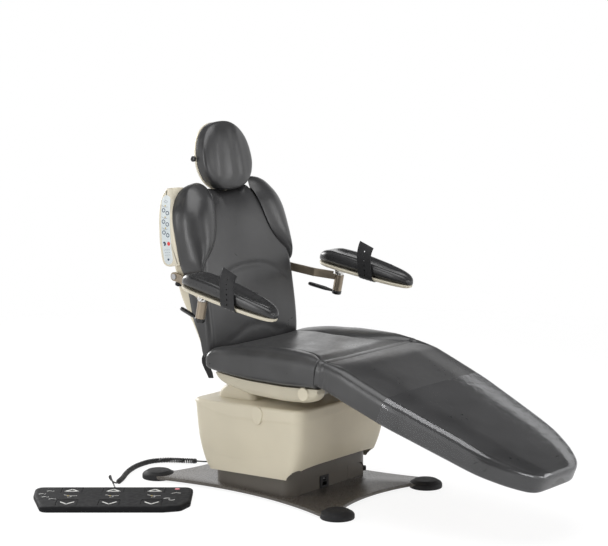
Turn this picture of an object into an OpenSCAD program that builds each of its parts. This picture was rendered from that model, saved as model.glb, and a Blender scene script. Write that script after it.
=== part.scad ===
// Oral surgery chair: a powered chair on a flat steel base, with a lifting housing, a tilting seat,
// a leg section, a reclining back, a headrest, two arm boards and a foot control on a curly cord.
// Millimetres, +Z up. The origin is the centre of the base plate's underside, the foot end is at -Y.

/* [Base plate] */
// Width over the ends of the splayed legs
plate_w = 644; // [600:1:760]
// Length over the ends of the splayed legs
plate_l = 984; // [900:1:1150]
// Thickness of the steel plate
plate_t = 12; // [8:1:16]
// Height of the plate's underside above the floor
plate_raise = 8; // [4:1:12]
// Width of the plate at the waist of its long sides
plate_waist_w = 520; // [490:1:560]
// Length of the plate at the waist of its ends
plate_waist_l = 760; // [700:1:820]
// Diameter of the rubber foot caps
cap_d = 126; // [124:1:140]
// Height of the rubber foot caps
cap_h = 30; // [26:1:36]

/* [Lower shroud] */
// Gap beside the fixed lower shroud, inside the housing's foot
shroud_clear = 12; // [10:1:27]
// Length of the fixed lower shroud
shroud_l = 400; // [360:1:404]
// Height of the fixed lower shroud
shroud_h = 242; // [225:1:244]
// Radius of the shroud's upright corners
shroud_r = 60; // [40:1:80]
// Wall of the shroud
shroud_wall = 4; // [2:0.5:5]
// Height of the recess at the foot of the shroud's front
recess_h = 58; // [50:1:80]
// Depth of that recess
recess_depth = 10; // [7:1:16]

/* [Lift column] */
// Diameter of the fixed outer column
column_d = 140; // [130:1:150]
// Diameter of the sliding piston
piston_d = 116; // [100:1:120]
// Height of the outer column
column_h = 240; // [225:1:242]
// Running clearance of the shafts and pins, on the radius
fit_gap = 0.05; // [0.03:0.01:0.09]

/* [Upper housing] */
// Width of the lifting housing at its band
housing_w = 552; // [530:1:600]
// How much narrower the housing is at its lower edge
housing_draw = 58; // [30:1:60]
// Reach of the housing's top in front of the column
housing_front = 272; // [262:1:300]
// Reach of the housing's lower edge in front of the column
housing_foot_front = 216; // [214:1:240]
// Reach of the housing's top behind the column
housing_rear = 270; // [262:1:300]
// Reach of the housing's lower edge behind the column
housing_foot_rear = 230; // [222:1:250]
// Level of the housing's top over the column
housing_top = 352; // [345:1:360]
// Level of the housing's side edge over the column
housing_foot = 79; // [74:1:100]
// Depth of the band round the top
band_h = 50; // [35:1:65]
// Wall of the housing
housing_wall = 5; // [3:0.5:6]
// Rise of the top and of the lower edge towards the foot end
housing_slope = 2.5; // [0:0.1:3]
// Level of the raised edge at the front and the rear
arch_z = 130; // [110:1:145]
// Diameter of the round caps on the band
side_cap_d = 44; // [34:1:46]

/* [Seat] */
// Width of the seat cushion
seat_w = 604; // [560:1:640]
// Level of the seat's top along its raised sides
seat_top = 578; // [572:1:590]
// Fall of the raised sides towards the back
seat_fall = 40; // [30:1:50]
// Depth of the dish between the raised sides
seat_dish = 17; // [4:1:20]
// Place of the seat cushion's rear end
seat_rear = 170; // [160:1:172]
// How far the seat pan's sides stand in from the cushion's
pan_in = 15; // [7:1:30]
// Wall of the seat pan
pan_wall = 4; // [3:0.5:6]
// Thickness of the rails of the seat frame
rail_t = 8; // [6:1:10]
// Distance between the rails of the seat frame
rail_spacing = 300; // [280:1:320]
// Diameter of the pins of the seat frame
pin_d = 18; // [14:1:20]
// Place of the tilt pin, behind the column
tilt_y = 84; // [80:1:90]
// Level of the tilt pin
tilt_z = 430; // [426:1:434]

/* [Leg section] */
// Place of the knee pin, in front of the column
knee_y = 352; // [346:1:360]
// Level of the knee pin
knee_z = 538; // [534:1:542]
// Radius of the rolled rear edge of the leg cushion
knee_r = 26; // [24:1:28]
// Length of the leg section from the knee pin
leg_l = 906; // [840:1:980]
// Fall of the leg section
leg_fall = 21; // [18:0.5:24]
// Height of the leg cushion's upper side over the knee pin's level
leg_crest = 53; // [46:1:58]
// Depth of the leg cushion's lower side under the knee pin's level
leg_under = 66; // [60:1:72]
// The same depth at the tip
leg_tip_under = 39; // [34:1:44]
// Distance of the clear foot cover's edge from the knee pin
cover_start = 318; // [260:1:380]
// Thickness of the clear foot cover
cover_t = 1.6; // [1:0.1:2.5]

/* [Back] */
// Place of the recline pin, behind the column
recline_y = 195; // [192:1:198]
// Level of the recline pin
recline_z = 475; // [472:1:480]
// Lean of the back from upright
back_lean = 11; // [9:0.5:13]
// Width of the back cushion at the waist
back_w = 480; // [450:1:500]
// Width over the side bolsters
bolster_w = 570; // [550:1:590]
// Length of the back above the recline pin
back_l = 640; // [620:1:660]
// Wall of the back shell
shell_wall = 4; // [3:0.5:5]
// Length of the control panel's housing
panel_l = 294; // [270:1:310]
// Depth of the control panel's housing
panel_d = 87; // [80:1:90]

/* [Headrest] */
// Width of the headrest
headrest_w = 276; // [260:1:290]
// Height of the headrest
headrest_h = 270; // [250:1:290]
// Thickness of the headrest cushion
headrest_t = 62; // [50:1:68]
// Diameter of the headrest's two bars
headrest_bar_d = 12; // [10:1:14]
// Distance between the headrest's two bars
headrest_bar_spacing = 90; // [80:1:110]

/* [Arms] */
// Distance of the arm pivot above the recline pin, along the back
arm_pivot_up = 347; // [335:1:356]
// Distance of the arm pivot behind the recline pin, square to the back
arm_pivot_back = 84; // [76:1:88]
// Fall of the arm bars and clamp tubes
arm_fall = 12; // [8:0.5:14]
// Gap between the back shell and the middle of the arm bar
arm_bar_gap = 12.4; // [9.4:0.1:28]
// Thickness of the flat arm bar
arm_bar_t = 8; // [6:1:10]
// Height of the flat arm bar
arm_bar_h = 32; // [26:1:36]
// Reach of the clamp tube in front of the arm pivot
arm_reach = 266; // [250:1:280]
// Place of the clamp tube outside the arm bar
arm_spread = 130; // [120:1:140]
// Diameter of the clamp tube
clamp_d = 36; // [32:1:40]
// Diameter of the silver post in the clamp tube
post_d = 26; // [22:1:28]
// Length of the arm pad
pad_l = 442; // [420:1:480]
// Width of the arm pad
pad_w = 120; // [100:1:130]
// Thickness of the arm pad's cushion
pad_t = 68; // [56:1:74]
// Thickness of the tray under the arm pad
tray_t = 12; // [9:1:16]
// Width of the perforated strap over the arm pad
strap_w = 68; // [40:1:76]
// Tilt of the left arm pad on its post
left_pad_tilt = 1; // [-2:0.5:4]
// Tilt of the right arm pad on its post
right_pad_tilt = 5; // [2:0.5:9]

/* [Foot control] */
// Length of the foot control
pedal_l = 594; // [560:1:640]
// Depth of the foot control
pedal_d = 284; // [270:1:310]
// Height of the foot control
pedal_h = 22; // [20:1:30]
// Side of the six square keys
key_s = 78; // [60:1:84]
// Distance between the columns of keys
key_pitch = 155; // [140:1:165]
// Travel of the keys
key_travel = 3; // [2:0.5:4]

/* [Curly cord] */
// Outer diameter of the curls
curl_d = 21; // [19:1:24]
// Diameter of the cord itself
cord_d = 5.2; // [4.4:0.1:5.6]

/* [Hidden] */

// Facet counts of true circles and of the circles inside a hull
round_fn = 48;
hull_fn = 24;
// Overrun of cuts, gap between resting soft faces
cut = 1;
rest_gap = 0.3;
half_turn = 180;
quarter_turn = 90;

// Colours
charcoal = [0.28, 0.28, 0.29];
beige = [0.76, 0.72, 0.62];
taupe = [0.36, 0.34, 0.31];
plate_grey = [0.33, 0.31, 0.29];
rubber = [0.09, 0.09, 0.1];
bronze = [0.55, 0.48, 0.4];
silver = [0.78, 0.78, 0.8];
steel = [0.6, 0.61, 0.63];

// Widths that keep together
housing_foot_w = housing_w - housing_draw;
shroud_w = housing_foot_w - 2*shroud_clear;
pan_w = seat_w - 2*pan_in;
leg_w = seat_w;
shell_swell = 1.09;
arm_bar_x = back_w/2*shell_swell + arm_bar_gap;

// Foot caps and legs of the plate
plate_top = plate_raise + plate_t;
cap_inset = 50;
leg_foot_w = 111;
cap_x = plate_w/2 - cap_inset;
cap_y = plate_l/2 - cap_inset;
leg_corner_r = 46;
leg_gap_w = plate_w - 2*leg_foot_w;

leg_end_r = cap_x - leg_gap_w/2;
leg_meet = 395;

// Shroud and recess
recess_left = shroud_w/2 - 47;
recess_right = shroud_w/2 - 21;
recess_r = 48;
recess_lip = 6;
panel_t = 3;
seam_x = 110;
seam_gap = 0.8;
inlet_x = -34;
inlet_w = 44;
inlet_h = 40;
inlet_deep = 34;
inlet_flange = 3;
inlet_z = plate_top + 24;
rocker_w = 16;
rocker_h = 12;
rocker_shaft_d = 4;
socket_w = 26;
socket_h = 15;
socket_deep = 18;
grommet_d = 22;
grommet_l = 26;

// Lift column
column_flange_d = 190;
column_flange_t = 12;
piston_foot = 70;
piston_top = 322;
carriage_t = 8;
carriage_w = 360;
carriage_front = 165;
carriage_rear = 235;
carriage_top = piston_top + carriage_t;
motor_d = 72;
motor_h = 182;
motor_x = -152;
gearbox_h = 46;
gearbox_w = 60;
shroud_top = plate_top + shroud_h;

// Housing
slope_rate = tan(housing_slope);
corner_r = 48;
band_step = 3.5;
roof_boss_d = 40;
roof_boss_x = 120;
roof_boss_front = 110;
roof_boss_rear = 205;
arch_half_w = housing_foot_w/2 - 39;
arch_r = 42;
side_cap_t = 3;
side_cap_y = -68;
lug_t = 10;
lug_w = 36;
lug_slot_gap = 4;
lug_x = rail_spacing/2 - rail_t/2 - lug_slot_gap - lug_t/2;
neck_half_w = 196;
neck_front = 20;
neck_rear = 206;
neck_top = 396;
neck_draft = 26;
neck_wall = 4;

// Seat
seat_front = -knee_y;
cushion_foot_shares = [[0, 0.18], [0.08, 0.11], [0.2, 0.05], [0.42, 0], [0.66, 0], [0.86, 0.04], [1, 0.08]];
pan_foot_shares = [[0, 0.7], [0.02, 0.5], [0.05, 0.36], [0.19, 0.15], [0.34, 0.02], [0.6, 0], [0.84, 0.12],
    [0.93, 0.26], [0.985, 0.46], [1, 0.56]];
pan_rear = 126;
pan_front = -350;
pan_foot = 386;
cushion_foot = 446;
board_t = 8;
board_z = cushion_foot - board_t;
boss_d = 50;
boss_y = -296;
boss_z = 436;
boss_t = 4;

// Recline and knee plates
recline_arm_x = rail_spacing/2 + 12;
knee_arm_x = rail_spacing/2 + 14;
knee_boss_r = 19;
knee_pocket_r = 23;
knee_pocket_in = 8;
knee_pocket_out = 22;

// Leg section, along its slope
leg_point_shares = [[0, 0.995], [0.18, 1], [0.36, 0.99], [0.5, 0.94], [0.66, 0.872], [0.78, 0.815],
    [0.88, 0.69], [0.96, 0.513], [0.985, 0.42], [0.997, 0.315], [1, 0.2]];
leg_top_shares = [[0, 0.49], [0.04, 0.7], [0.09, 0.9], [0.14, 1], [0.36, 1], [0.66, 0.95], [0.83, 0.83], [0.94, 0.7],
    [1, 0.6]];
leg_end_shares = [[0, 0], [0.96, 0], [0.985, 0.08], [0.997, 0.3], [1, 0.55]];
leg_crown = 5;
leg_board_t = 10;
leg_board_start = 70;
leg_board_end = 760;
leg_board_w = 420;
leg_board_tip_w = 300;

// Back, in its own leaning frame
back_foot = 30;
back_plane = 12;
lumbar_depth = 64;
back_front_shares = [[0, 0.5], [0.04, 0.72], [0.16, 0.88], [0.29, 0.96], [0.53, 1], [0.7, 0.74], [0.85, 0.53],
    [0.95, 0.36], [0.985, 0.24], [1, 0.12]];
back_width_shares = [[0, 0.97], [0.04, 1], [0.5, 1], [0.7, 0.98], [0.95, 0.86], [1, 0.8]];
shell_depth = 98;
shell_depth_shares = [[0, 0.16], [0.06, 0.26], [0.2, 0.64], [0.4, 0.98], [0.55, 1], [0.78, 0.9], [0.93, 0.7],
    [1, 0.4]];
shell_width_shares = [[0, 0.94], [0.06, 0.97], [0.4, 0.98], [0.52, 1.04], [0.56, 1.09], [0.9, 1.09],
    [0.96, 0.96], [1, 0.78]];
shell_foot = 58;
shell_top = 670;
bolster_foot = 330;
bolster_top = 686;
frame_bar_t = 8;
frame_bar_w = 34;
headrest_notch = 138;
panel_foot = 386;
panel_front = 36;
panel_t_out = 30;

// Headrest, in the back's frame
headrest_mid_up = 780;
headrest_mid_back = 8;
headrest_shell_t = 25;
headrest_bar_foot = 480;
bar_tube_wall = 3;

// Arms, in their own falling frame
bar_bend_y = -186;
bar_bend_x = 66;
tube_foot = -58;
tube_top = 6;
collar_h = 15;
lever_l = 112;
lever_d = 16;
lever_inward = 13;
post_top = 20;
knuckle_d = 22;
knuckle_l = 28;
ear_t = 6;
ear_pin_d = 10;
pad_rear = 95;
strap_t = 3;
strap_arch = 7;
strap_place = -168;
knob_d = 28;
knob_t = 12;
knob_pin_d = 4;
peg_d = 7;

// Foot control, turned to lie beside the chair
pedal_x = -642;
pedal_y = 331;
pedal_turn = -50.7;
pedal_chamfer = 26;
key_gap = 0.4;
key_sink = 1.2;
key_h = 9;
key_row_up = 92;
key_row_down = -78;
stop_x = 238;
stop_y = 106;
stop_d = 20;
pedal_gland_l = 16;
pedal_gland_d = 9.6;

// Cord route: leads, and the middle line of the curls
curl_pitch = 9.6;
cord_lead_in = [[44, 216, 44], [44, 232, 42], [43, 252, 35], [41, 276, 26.5], [38, 306, 23.4], [34, 340, 23.4],
    [29, 368, 23.6], [24, 386, 23.4], [15, 408, 16], [4, 428, 10], [-10, 446, 9.6]];
curl_route = [[-26, 466, 11], [-52, 512, 11], [-92, 574, 11], [-146, 606, 11], [-222, 602, 11],
    [-294, 576, 11], [-348, 546, 11], [-400, 512, 11], [-446, 488, 11]];
pedal_gland_tip = [pedal_x - (pedal_d/2 + pedal_gland_l)*sin(pedal_turn),
    pedal_y + (pedal_d/2 + pedal_gland_l)*cos(pedal_turn), pedal_h/2];
cord_lead_out = [[-456, 486, 8.6], [-468, 491, 6], [-475, 506, 6], [-477, 524, 7], [-485, 535, 7.6], [-495, 529, 6.6],
    [-499, 512, 5.6], [-497, 490, 5.6], [-495, 468, 7], [-500, 452, 9.6], [-509, 441, 11], pedal_gland_tip];

// Points of a rounded rectangle between x0, x1 and y0, y1, at a height that may slope along y
corner_steps = 4;
function round_box(x0, x1, y0, y1, r, z, rate) = [
    for (q = [[x1 - r, y1 - r, 0], [x0 + r, y1 - r, 1], [x0 + r, y0 + r, 2], [x1 - r, y0 + r, 3]])
    for (k = [0:corner_steps])
    let (a = quarter_turn*(q[2] + k/corner_steps), x = q[0] + r*cos(a), y = q[1] + r*sin(a))
    [x, y, z - rate*y]];

// Value of a share table at a place between 0 and 1
function table(t, s, i = 0) =
    i >= len(t) - 1 ? t[len(t) - 1][1] :
    s <= t[i][0] ? t[i][1] :
    s < t[i + 1][0] ? t[i][1] + (t[i + 1][1] - t[i][1])*(s - t[i][0])/(t[i + 1][0] - t[i][0]) :
    table(t, s, i + 1);

// Solid skinned over rings of equal length, each anticlockwise seen from the last ring
function centre(p) = [for (k = [0:2]) [for (q = p) q[k]]*[for (q = p) 1]/len(p)];
module skin(rings) {
    n = len(rings[0]);
    m = len(rings);
    points = concat([for (r = rings) for (p = r) p], [centre(rings[0]), centre(rings[m - 1])]);
    sides = [for (k = [0:m - 2]) for (i = [0:n - 1]) for (h = [0, 1])
        let (j = (i + 1)%n, a = k*n + i, b = k*n + j)
        h == 0 ? [a, a + n, b + n] : [a, b + n, b]];
    ends = [for (i = [0:n - 1]) for (h = [0, 1]) let (j = (i + 1)%n)
        h == 0 ? [i, j, n*m] : [(m - 1)*n + j, (m - 1)*n + i, n*m + 1]];
    polyhedron(points, concat(sides, ends), convexity = 6);
}

// One coordinate of a squared-off oval, and the oval itself about a centre, in a plane of two directions
function bulge(c, e) = sign(c)*pow(abs(c), 2/e);
function oval(c, u, v, e, n) = [for (i = [0:n - 1]) let (a = 360*i/n) c + u*bulge(cos(a), e) + v*bulge(sin(a), e)];

module round_plate(w, l, r) {
    union() {
        square([w, l - 2*r], center = true);
        square([w - 2*r, l], center = true);
        for (x = [-1, 1])
            for (y = [-1, 1])
                translate([x*(w/2 - r), y*(l/2 - r)]) circle(r = r, $fn = round_fn);
    }
}
module both_sides() {
    children();
    mirror([1, 0, 0]) children();
}
// Flat profile drawn in the Y-Z plane, given a thickness along X and centred on x
module side_plate(x, t) {
    translate([x - t/2, 0, 0]) rotate([quarter_turn, 0, quarter_turn]) linear_extrude(t) children();
}
module cross_pin(x0, x1, d) {
    translate([x0, 0, 0]) rotate([0, quarter_turn, 0]) cylinder(d = d, h = x1 - x0, $fn = round_fn);
}

// Base plate with waisted sides and ends
side_arc_r = (pow((plate_w - plate_waist_w)/2, 2) + pow(leg_meet, 2))/(plate_w - plate_waist_w);
end_fall = 34;
end_arc_r = (pow(end_fall, 2) + pow(leg_gap_w/2, 2))/(2*end_fall);
module plate_outline() {
    difference() {
        round_plate(plate_w, plate_l, leg_corner_r);
        for (s = [-1, 1]) {
            translate([s*(plate_waist_w/2 + side_arc_r), 0]) circle(r = side_arc_r, $fn = 4*round_fn);
            intersection() {
                translate([0, s*(plate_waist_l/2 + end_arc_r)]) circle(r = end_arc_r, $fn = 4*round_fn);
                square([leg_gap_w, 2*plate_l], center = true);
            }
            difference() {
                translate([-plate_w, s > 0 ? cap_y : -cap_y - plate_l]) square([2*plate_w, plate_l]);
                for (x = [-cap_x, cap_x]) translate([x, s*cap_y]) circle(r = leg_end_r, $fn = round_fn);
            }
        }
    }
}
module base_plate() {
    color(plate_grey) translate([0, 0, plate_raise]) linear_extrude(plate_t) plate_outline();
}

// Rubber boots over the ends of the legs, with a raised upper tier
module foot_cap() {
    r = cap_d/2;
    rotate_extrude($fn = round_fn) polygon([[0, 0], [r, 0], [r, cap_h*0.46], [r*0.94, cap_h*0.7],
        [r*0.78, cap_h*0.76], [r*0.74, cap_h*0.94], [r*0.68, cap_h], [0, cap_h]]);
}
module foot_caps() {
    color(rubber) difference() {
        for (x = [-1, 1])
            for (y = [-1, 1]) translate([x*cap_x, y*cap_y, 0]) foot_cap();
        translate([0, 0, plate_raise]) linear_extrude(plate_t) plate_outline();
    }
}

// Fixed shroud round the column, with a recess for the access panel
module recess_outline(grow) {
    w = recess_left + recess_right + 2*grow;
    h = recess_h + grow;
    translate([(recess_right - recess_left)/2, plate_top]) union() {
        translate([-w/2, 0]) square([w, h - recess_r]);
        translate([-w/2 + recess_r, 0]) square([w - 2*recess_r, h]);
        for (s = [-1, 1])
            intersection() {
                translate([s*(w/2 - recess_r), h - recess_r]) circle(r = recess_r, $fn = round_fn);
                translate([-w/2, 0]) square([w, h]);
            }
    }
}
module front_extrude(y, depth) {
    translate([0, y + depth, 0]) rotate([quarter_turn, 0, 0]) linear_extrude(depth) children();
}
module lower_shroud() {
    color(taupe) difference() {
        translate([0, 0, plate_top]) linear_extrude(shroud_h) round_plate(shroud_w, shroud_l, shroud_r);
        difference() {
            translate([0, 0, plate_top - cut]) linear_extrude(shroud_h - shroud_wall + cut)
                round_plate(shroud_w - 2*shroud_wall, shroud_l - 2*shroud_wall, shroud_r - shroud_wall);
            front_extrude(-shroud_l/2, recess_depth) recess_outline(recess_lip);
        }
        front_extrude(-shroud_l/2 - cut, recess_depth + 2*cut) recess_outline(0);
        cylinder(d = column_d + 2*shroud_wall, h = 2*shroud_top, $fn = round_fn);
        translate([cord_lead_in[0][0], shroud_l/2, cord_lead_in[0][2]]) rotate([quarter_turn, 0, 0])
            cylinder(d = gland_d, h = 4*shroud_wall, center = true, $fn = round_fn);
        grommet_place() cylinder(d = grommet_d - 2*grommet_lip, h = 8*shroud_wall, center = true, $fn = round_fn);
    }
}

// Panels that close the recess, parted by a seam, with the window of the power inlet
module access_panel() {
    y = -shroud_l/2 + recess_depth;
    color(taupe) difference() {
        intersection() {
            front_extrude(y, panel_t) recess_outline(recess_lip - cut);
            linear_extrude(shroud_top) round_plate(shroud_w - 2*shroud_wall - 2*rest_gap,
                shroud_l - 2*shroud_wall, shroud_r - shroud_wall);
        }
        translate([seam_x - seam_gap/2, y - cut, 0]) cube([seam_gap, panel_t + 2*cut, 2*shroud_h]);
        translate([inlet_x - inlet_w/2, y - cut, inlet_z - inlet_h/2])
            cube([inlet_w, panel_t + 2*cut, inlet_h]);
    }
}

// Power inlet with its socket and the well of its rocker switch
rocker_up = inlet_h*0.22;
socket_up = -inlet_h*0.22;
rocker_gap = 0.4;
module power_inlet() {
    y = -shroud_l/2 + recess_depth;
    color(rubber) difference() {
        union() {
            translate([inlet_x - inlet_w/2 - inlet_flange, y - inlet_flange, inlet_z - inlet_h/2 - inlet_flange])
                cube([inlet_w + 2*inlet_flange, inlet_flange, inlet_h + 2*inlet_flange]);
            translate([inlet_x - inlet_w/2, y, inlet_z - inlet_h/2]) cube([inlet_w, inlet_deep, inlet_h]);
        }
        translate([inlet_x - socket_w/2, y - inlet_flange - cut, inlet_z + socket_up - socket_h/2])
            cube([socket_w, socket_deep, socket_h]);
        translate([inlet_x - rocker_w/2 - rocker_gap, y - inlet_flange - cut,
            inlet_z + rocker_up - rocker_h/2 - rocker_gap])
            cube([rocker_w + 2*rocker_gap, socket_deep, rocker_h + 2*rocker_gap]);
        translate([inlet_x, y + rocker_back, inlet_z + rocker_up])
            rotate([0, quarter_turn, 0])
            cylinder(d = rocker_shaft_d + 2*fit_gap, h = rocker_w + 2*rocker_shaft_d, center = true, $fn = round_fn);
    }
}
rocker_back = 4;
rocker_swing = 8;
module power_rocker() {
    y = -shroud_l/2 + recess_depth + rocker_back;
    color(rubber) translate([inlet_x, y, inlet_z + rocker_up]) {
        rotate([0, quarter_turn, 0])
            cylinder(d = rocker_shaft_d, h = rocker_w + 2*rocker_shaft_d - cut, center = true, $fn = round_fn);
        rotate([0, quarter_turn, 0]) intersection() {
            cylinder(d = rocker_h - rocker_gap, h = rocker_w, center = true, $fn = round_fn);
            translate([-rocker_h, -rocker_h, -rocker_w]) cube([2*rocker_h, rocker_h + rocker_shaft_d, 2*rocker_w]);
        }
    }
}

// Rubber grommet at the shroud's front corner
grommet_up = 22;
grommet_turn = 45;
grommet_lip = 4;
module grommet_place() {
    translate([shroud_w/2 - shroud_r, shroud_r - shroud_l/2, plate_top + grommet_up])
        rotate([quarter_turn, 0, grommet_turn]) translate([0, 0, shroud_r - shroud_wall/2]) children();
}
module cable_grommet() {
    color(rubber) grommet_place() {
        cylinder(d = grommet_d - 2*grommet_lip, h = grommet_l, center = true, $fn = round_fn);
        translate([0, 0, shroud_wall/2]) cylinder(d1 = grommet_d, d2 = grommet_d - grommet_lip,
            h = grommet_l/2 - shroud_wall/2, $fn = round_fn);
    }
}

// Telescopic column and its motor
module lift_column() {
    color(steel) difference() {
        translate([0, 0, plate_top]) {
            cylinder(d = column_d, h = column_h, $fn = round_fn);
            cylinder(d = column_flange_d, h = column_flange_t, $fn = round_fn);
        }
        translate([0, 0, plate_top - cut])
            cylinder(d = piston_d + 2*fit_gap, h = column_h + 2*cut, $fn = round_fn);
    }
}
module lift_motor() {
    color(steel) translate([motor_x, 0, plate_top]) difference() {
        union() {
            cylinder(d = motor_d, h = motor_h, $fn = round_fn);
            translate([0, -gearbox_w/2, 0]) cube([-motor_x, gearbox_w, gearbox_h]);
        }
        translate([-motor_x, 0, -cut]) {
            cylinder(d = column_d, h = column_h, $fn = round_fn);
            cylinder(d = column_flange_d, h = column_flange_t + cut, $fn = round_fn);
        }
    }
}
module lift_piston() {
    color(silver) {
        difference() {
            translate([0, 0, piston_foot]) cylinder(d = piston_d, h = piston_top - piston_foot, $fn = round_fn);
            translate([0, 0, piston_foot - cut])
                cylinder(d = piston_d - 4*housing_wall, h = piston_top - piston_foot, $fn = round_fn);
        }
        difference() {
            union() {
                translate([-carriage_w/2, -carriage_front, piston_top])
                    cube([carriage_w, carriage_front + carriage_rear, carriage_t]);
                translate([0, jack_y, jack_barrel_foot])
                    cylinder(d = jack_barrel_d, h = jack_barrel_top - jack_barrel_foot, $fn = round_fn);
            }
            translate([0, jack_y, jack_barrel_foot + 2])
                cylinder(d = jack_d + 2*fit_gap, h = housing_top, $fn = round_fn);
        }
    }
}

// Strain relief of the foot control's cord on the rear of the shroud
gland_d = 12;
gland_flange_d = 20;
gland_flange_t = 4;
gland_tip_d = 8;
module cord_gland() {
    p = cord_lead_in[0];
    color(rubber) translate([p[0], shroud_l/2, p[2]]) rotate([-quarter_turn, 0, 0]) difference() {
        union() {
            translate([0, 0, -2*shroud_wall]) cylinder(d = gland_d, h = 2*shroud_wall, $fn = round_fn);
            cylinder(d = gland_flange_d, h = gland_flange_t, $fn = round_fn);
            cylinder(d1 = gland_d, d2 = gland_tip_d, h = p[1] - shroud_l/2, $fn = round_fn);
        }
    }
}

// Curly cord: a straight lead, the curls as one unbroken tube, and a straight lead
function span(a, b) = norm(b - a);
function spline(p, i, t) = let (
    n = len(p) - 1,
    a = p[max(i - 1, 0)], b = p[i], c = p[min(i + 1, n)], d = p[min(i + 2, n)])
    0.5*(2*b + (c - a)*t + (2*a - 5*b + 4*c - d)*t*t + (3*b - a - 3*c + d)*t*t*t);
function run(p, i = 0) = i >= len(p) - 1 ? [0] :
    let (rest = run(p, i + 1), s = span(p[i], p[i + 1])) concat([0], [for (r = rest) r + s]);
function piece(c, s, i = 0) = i >= len(c) - 2 || s < c[i + 1] ? i : piece(c, s, i + 1);
function at(p, c, s) = let (i = piece(c, s)) spline(p, i, (s - c[i])/(c[i + 1] - c[i]));
function unit(v) = v/norm(v);
function level_side(t) = unit([t[1], -t[0], 0]);

curl_steps = 8;
cord_sides = 6;
curl_run = run(curl_route);
curl_length = curl_run[len(curl_run) - 1];
curls = floor(curl_length/curl_pitch);
curl_r = curl_d/2 - cord_d/2;
function curl_ramp(k) = min(1, k/curl_steps, (curls*curl_steps - k)/curl_steps);
function curl_point(k) = let (
    s = curl_length*k/(curls*curl_steps),
    e = curl_length/(curls*curl_steps),
    p = at(curl_route, curl_run, s),
    t = unit(at(curl_route, curl_run, min(s + e, curl_length)) - at(curl_route, curl_run, max(s - e, 0))),
    side = level_side(t), up = cross(side, t), a = 360*k/curl_steps,
    out = side*cos(a) + up*sin(a))
    [p + out*curl_r*curl_ramp(k), out];
curl_points = [for (k = [1:curls*curl_steps - 1]) curl_point(k)];
function lead_points(p) = [for (i = [0:len(p) - 1])
    let (t = p[min(i + 1, len(p) - 1)] - p[max(i - 1, 0)]) [p[i], level_side(t)]];
cord_stations = concat(lead_points(cord_lead_in), curl_points, lead_points(cord_lead_out));
function cord_ring(i) = let (
    n = len(cord_stations) - 1,
    t = i == 0 ? [0, 1, 0] : i == n ? pedal_turn_in :
        unit(cord_stations[i + 1][0] - cord_stations[i - 1][0]),
    r = cord_stations[i][1],
    u = unit(r - t*(r*t)), v = cross(t, u))
    [for (k = [0:cord_sides - 1]) let (a = 360*k/cord_sides)
        cord_stations[i][0] + (u*cos(a) + v*sin(a))*cord_d/2];
pedal_turn_in = [sin(pedal_turn), -cos(pedal_turn), 0];
curl_gap = min([for (k = [0:len(curl_points) - 1 - 2*curl_steps]) for (j = [curl_steps/2 + 1:2*curl_steps])
    span(curl_points[k][0], curl_points[k + j][0])]) - cord_d;
module pedal_cord() {
    echo(curls = curls, least_gap_of_the_curls = curl_gap);
    color(rubber) skin([for (i = [0:len(cord_stations) - 1]) cord_ring(i)]);
}

// Foot control with six square keys and a round stop key
module pedal_place() {
    translate([pedal_x, pedal_y, 0]) rotate([0, 0, pedal_turn]) children();
}
pedal_corner_r = 34;
pedal_cut_x = 58;
pedal_cut_y = 128;
module pedal_outline(inset) {
    x = pedal_l/2 - pedal_corner_r;
    y = pedal_d/2 - pedal_corner_r;
    hull()
        for (p = [[-x, y], [-x + 4, y*0.37], [-x + 44, -y], [x - 2*pedal_cut_x, -y], [x - pedal_cut_x, -y*0.74],
            [x, pedal_cut_y - y], [x, y]])
            translate(p) circle(r = pedal_corner_r - inset, $fn = hull_fn);
}
module key_places() {
    for (k = [-1:1])
        for (y = [key_row_up, key_row_down]) translate([k*key_pitch, y, 0]) children();
}
module pedal_case() {
    color(rubber) pedal_place() difference() {
        union() {
            linear_extrude(pedal_h - pedal_h/4) pedal_outline(0);
            linear_extrude(pedal_h) pedal_outline(pedal_h/4);
            translate([0, pedal_d/2, pedal_h/2]) rotate([-quarter_turn, 0, 0])
                cylinder(d1 = pedal_gland_d, d2 = gland_tip_d, h = pedal_gland_l, $fn = round_fn);
        }
        key_places() translate([-key_s/2 - key_gap, -key_s/2 - key_gap, pedal_h - key_sink - key_h - key_travel])
            cube([key_s + 2*key_gap, key_s + 2*key_gap, pedal_h]);
        translate([stop_x, stop_y, pedal_h - key_sink - key_h - key_travel])
            cylinder(d = stop_d + 2*fit_gap, h = pedal_h, $fn = round_fn);
    }
}
module pedal_key(column, row) {
    color(rubber) pedal_place() translate([column*key_pitch, row, pedal_h - key_sink - key_h]) {
        translate([-key_s/2, -key_s/2, 0]) cube([key_s, key_s, key_h - key_sink]);
        translate([-key_s/2 + key_sink, -key_s/2 + key_sink, 0])
            cube([key_s - 2*key_sink, key_s - 2*key_sink, key_h]);
    }
}
module pedal_stop_key() {
    color("indianred") pedal_place() translate([stop_x, stop_y, pedal_h - key_sink - key_h])
        cylinder(d = stop_d, h = key_h + 2*key_sink, $fn = round_fn);
}

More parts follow.
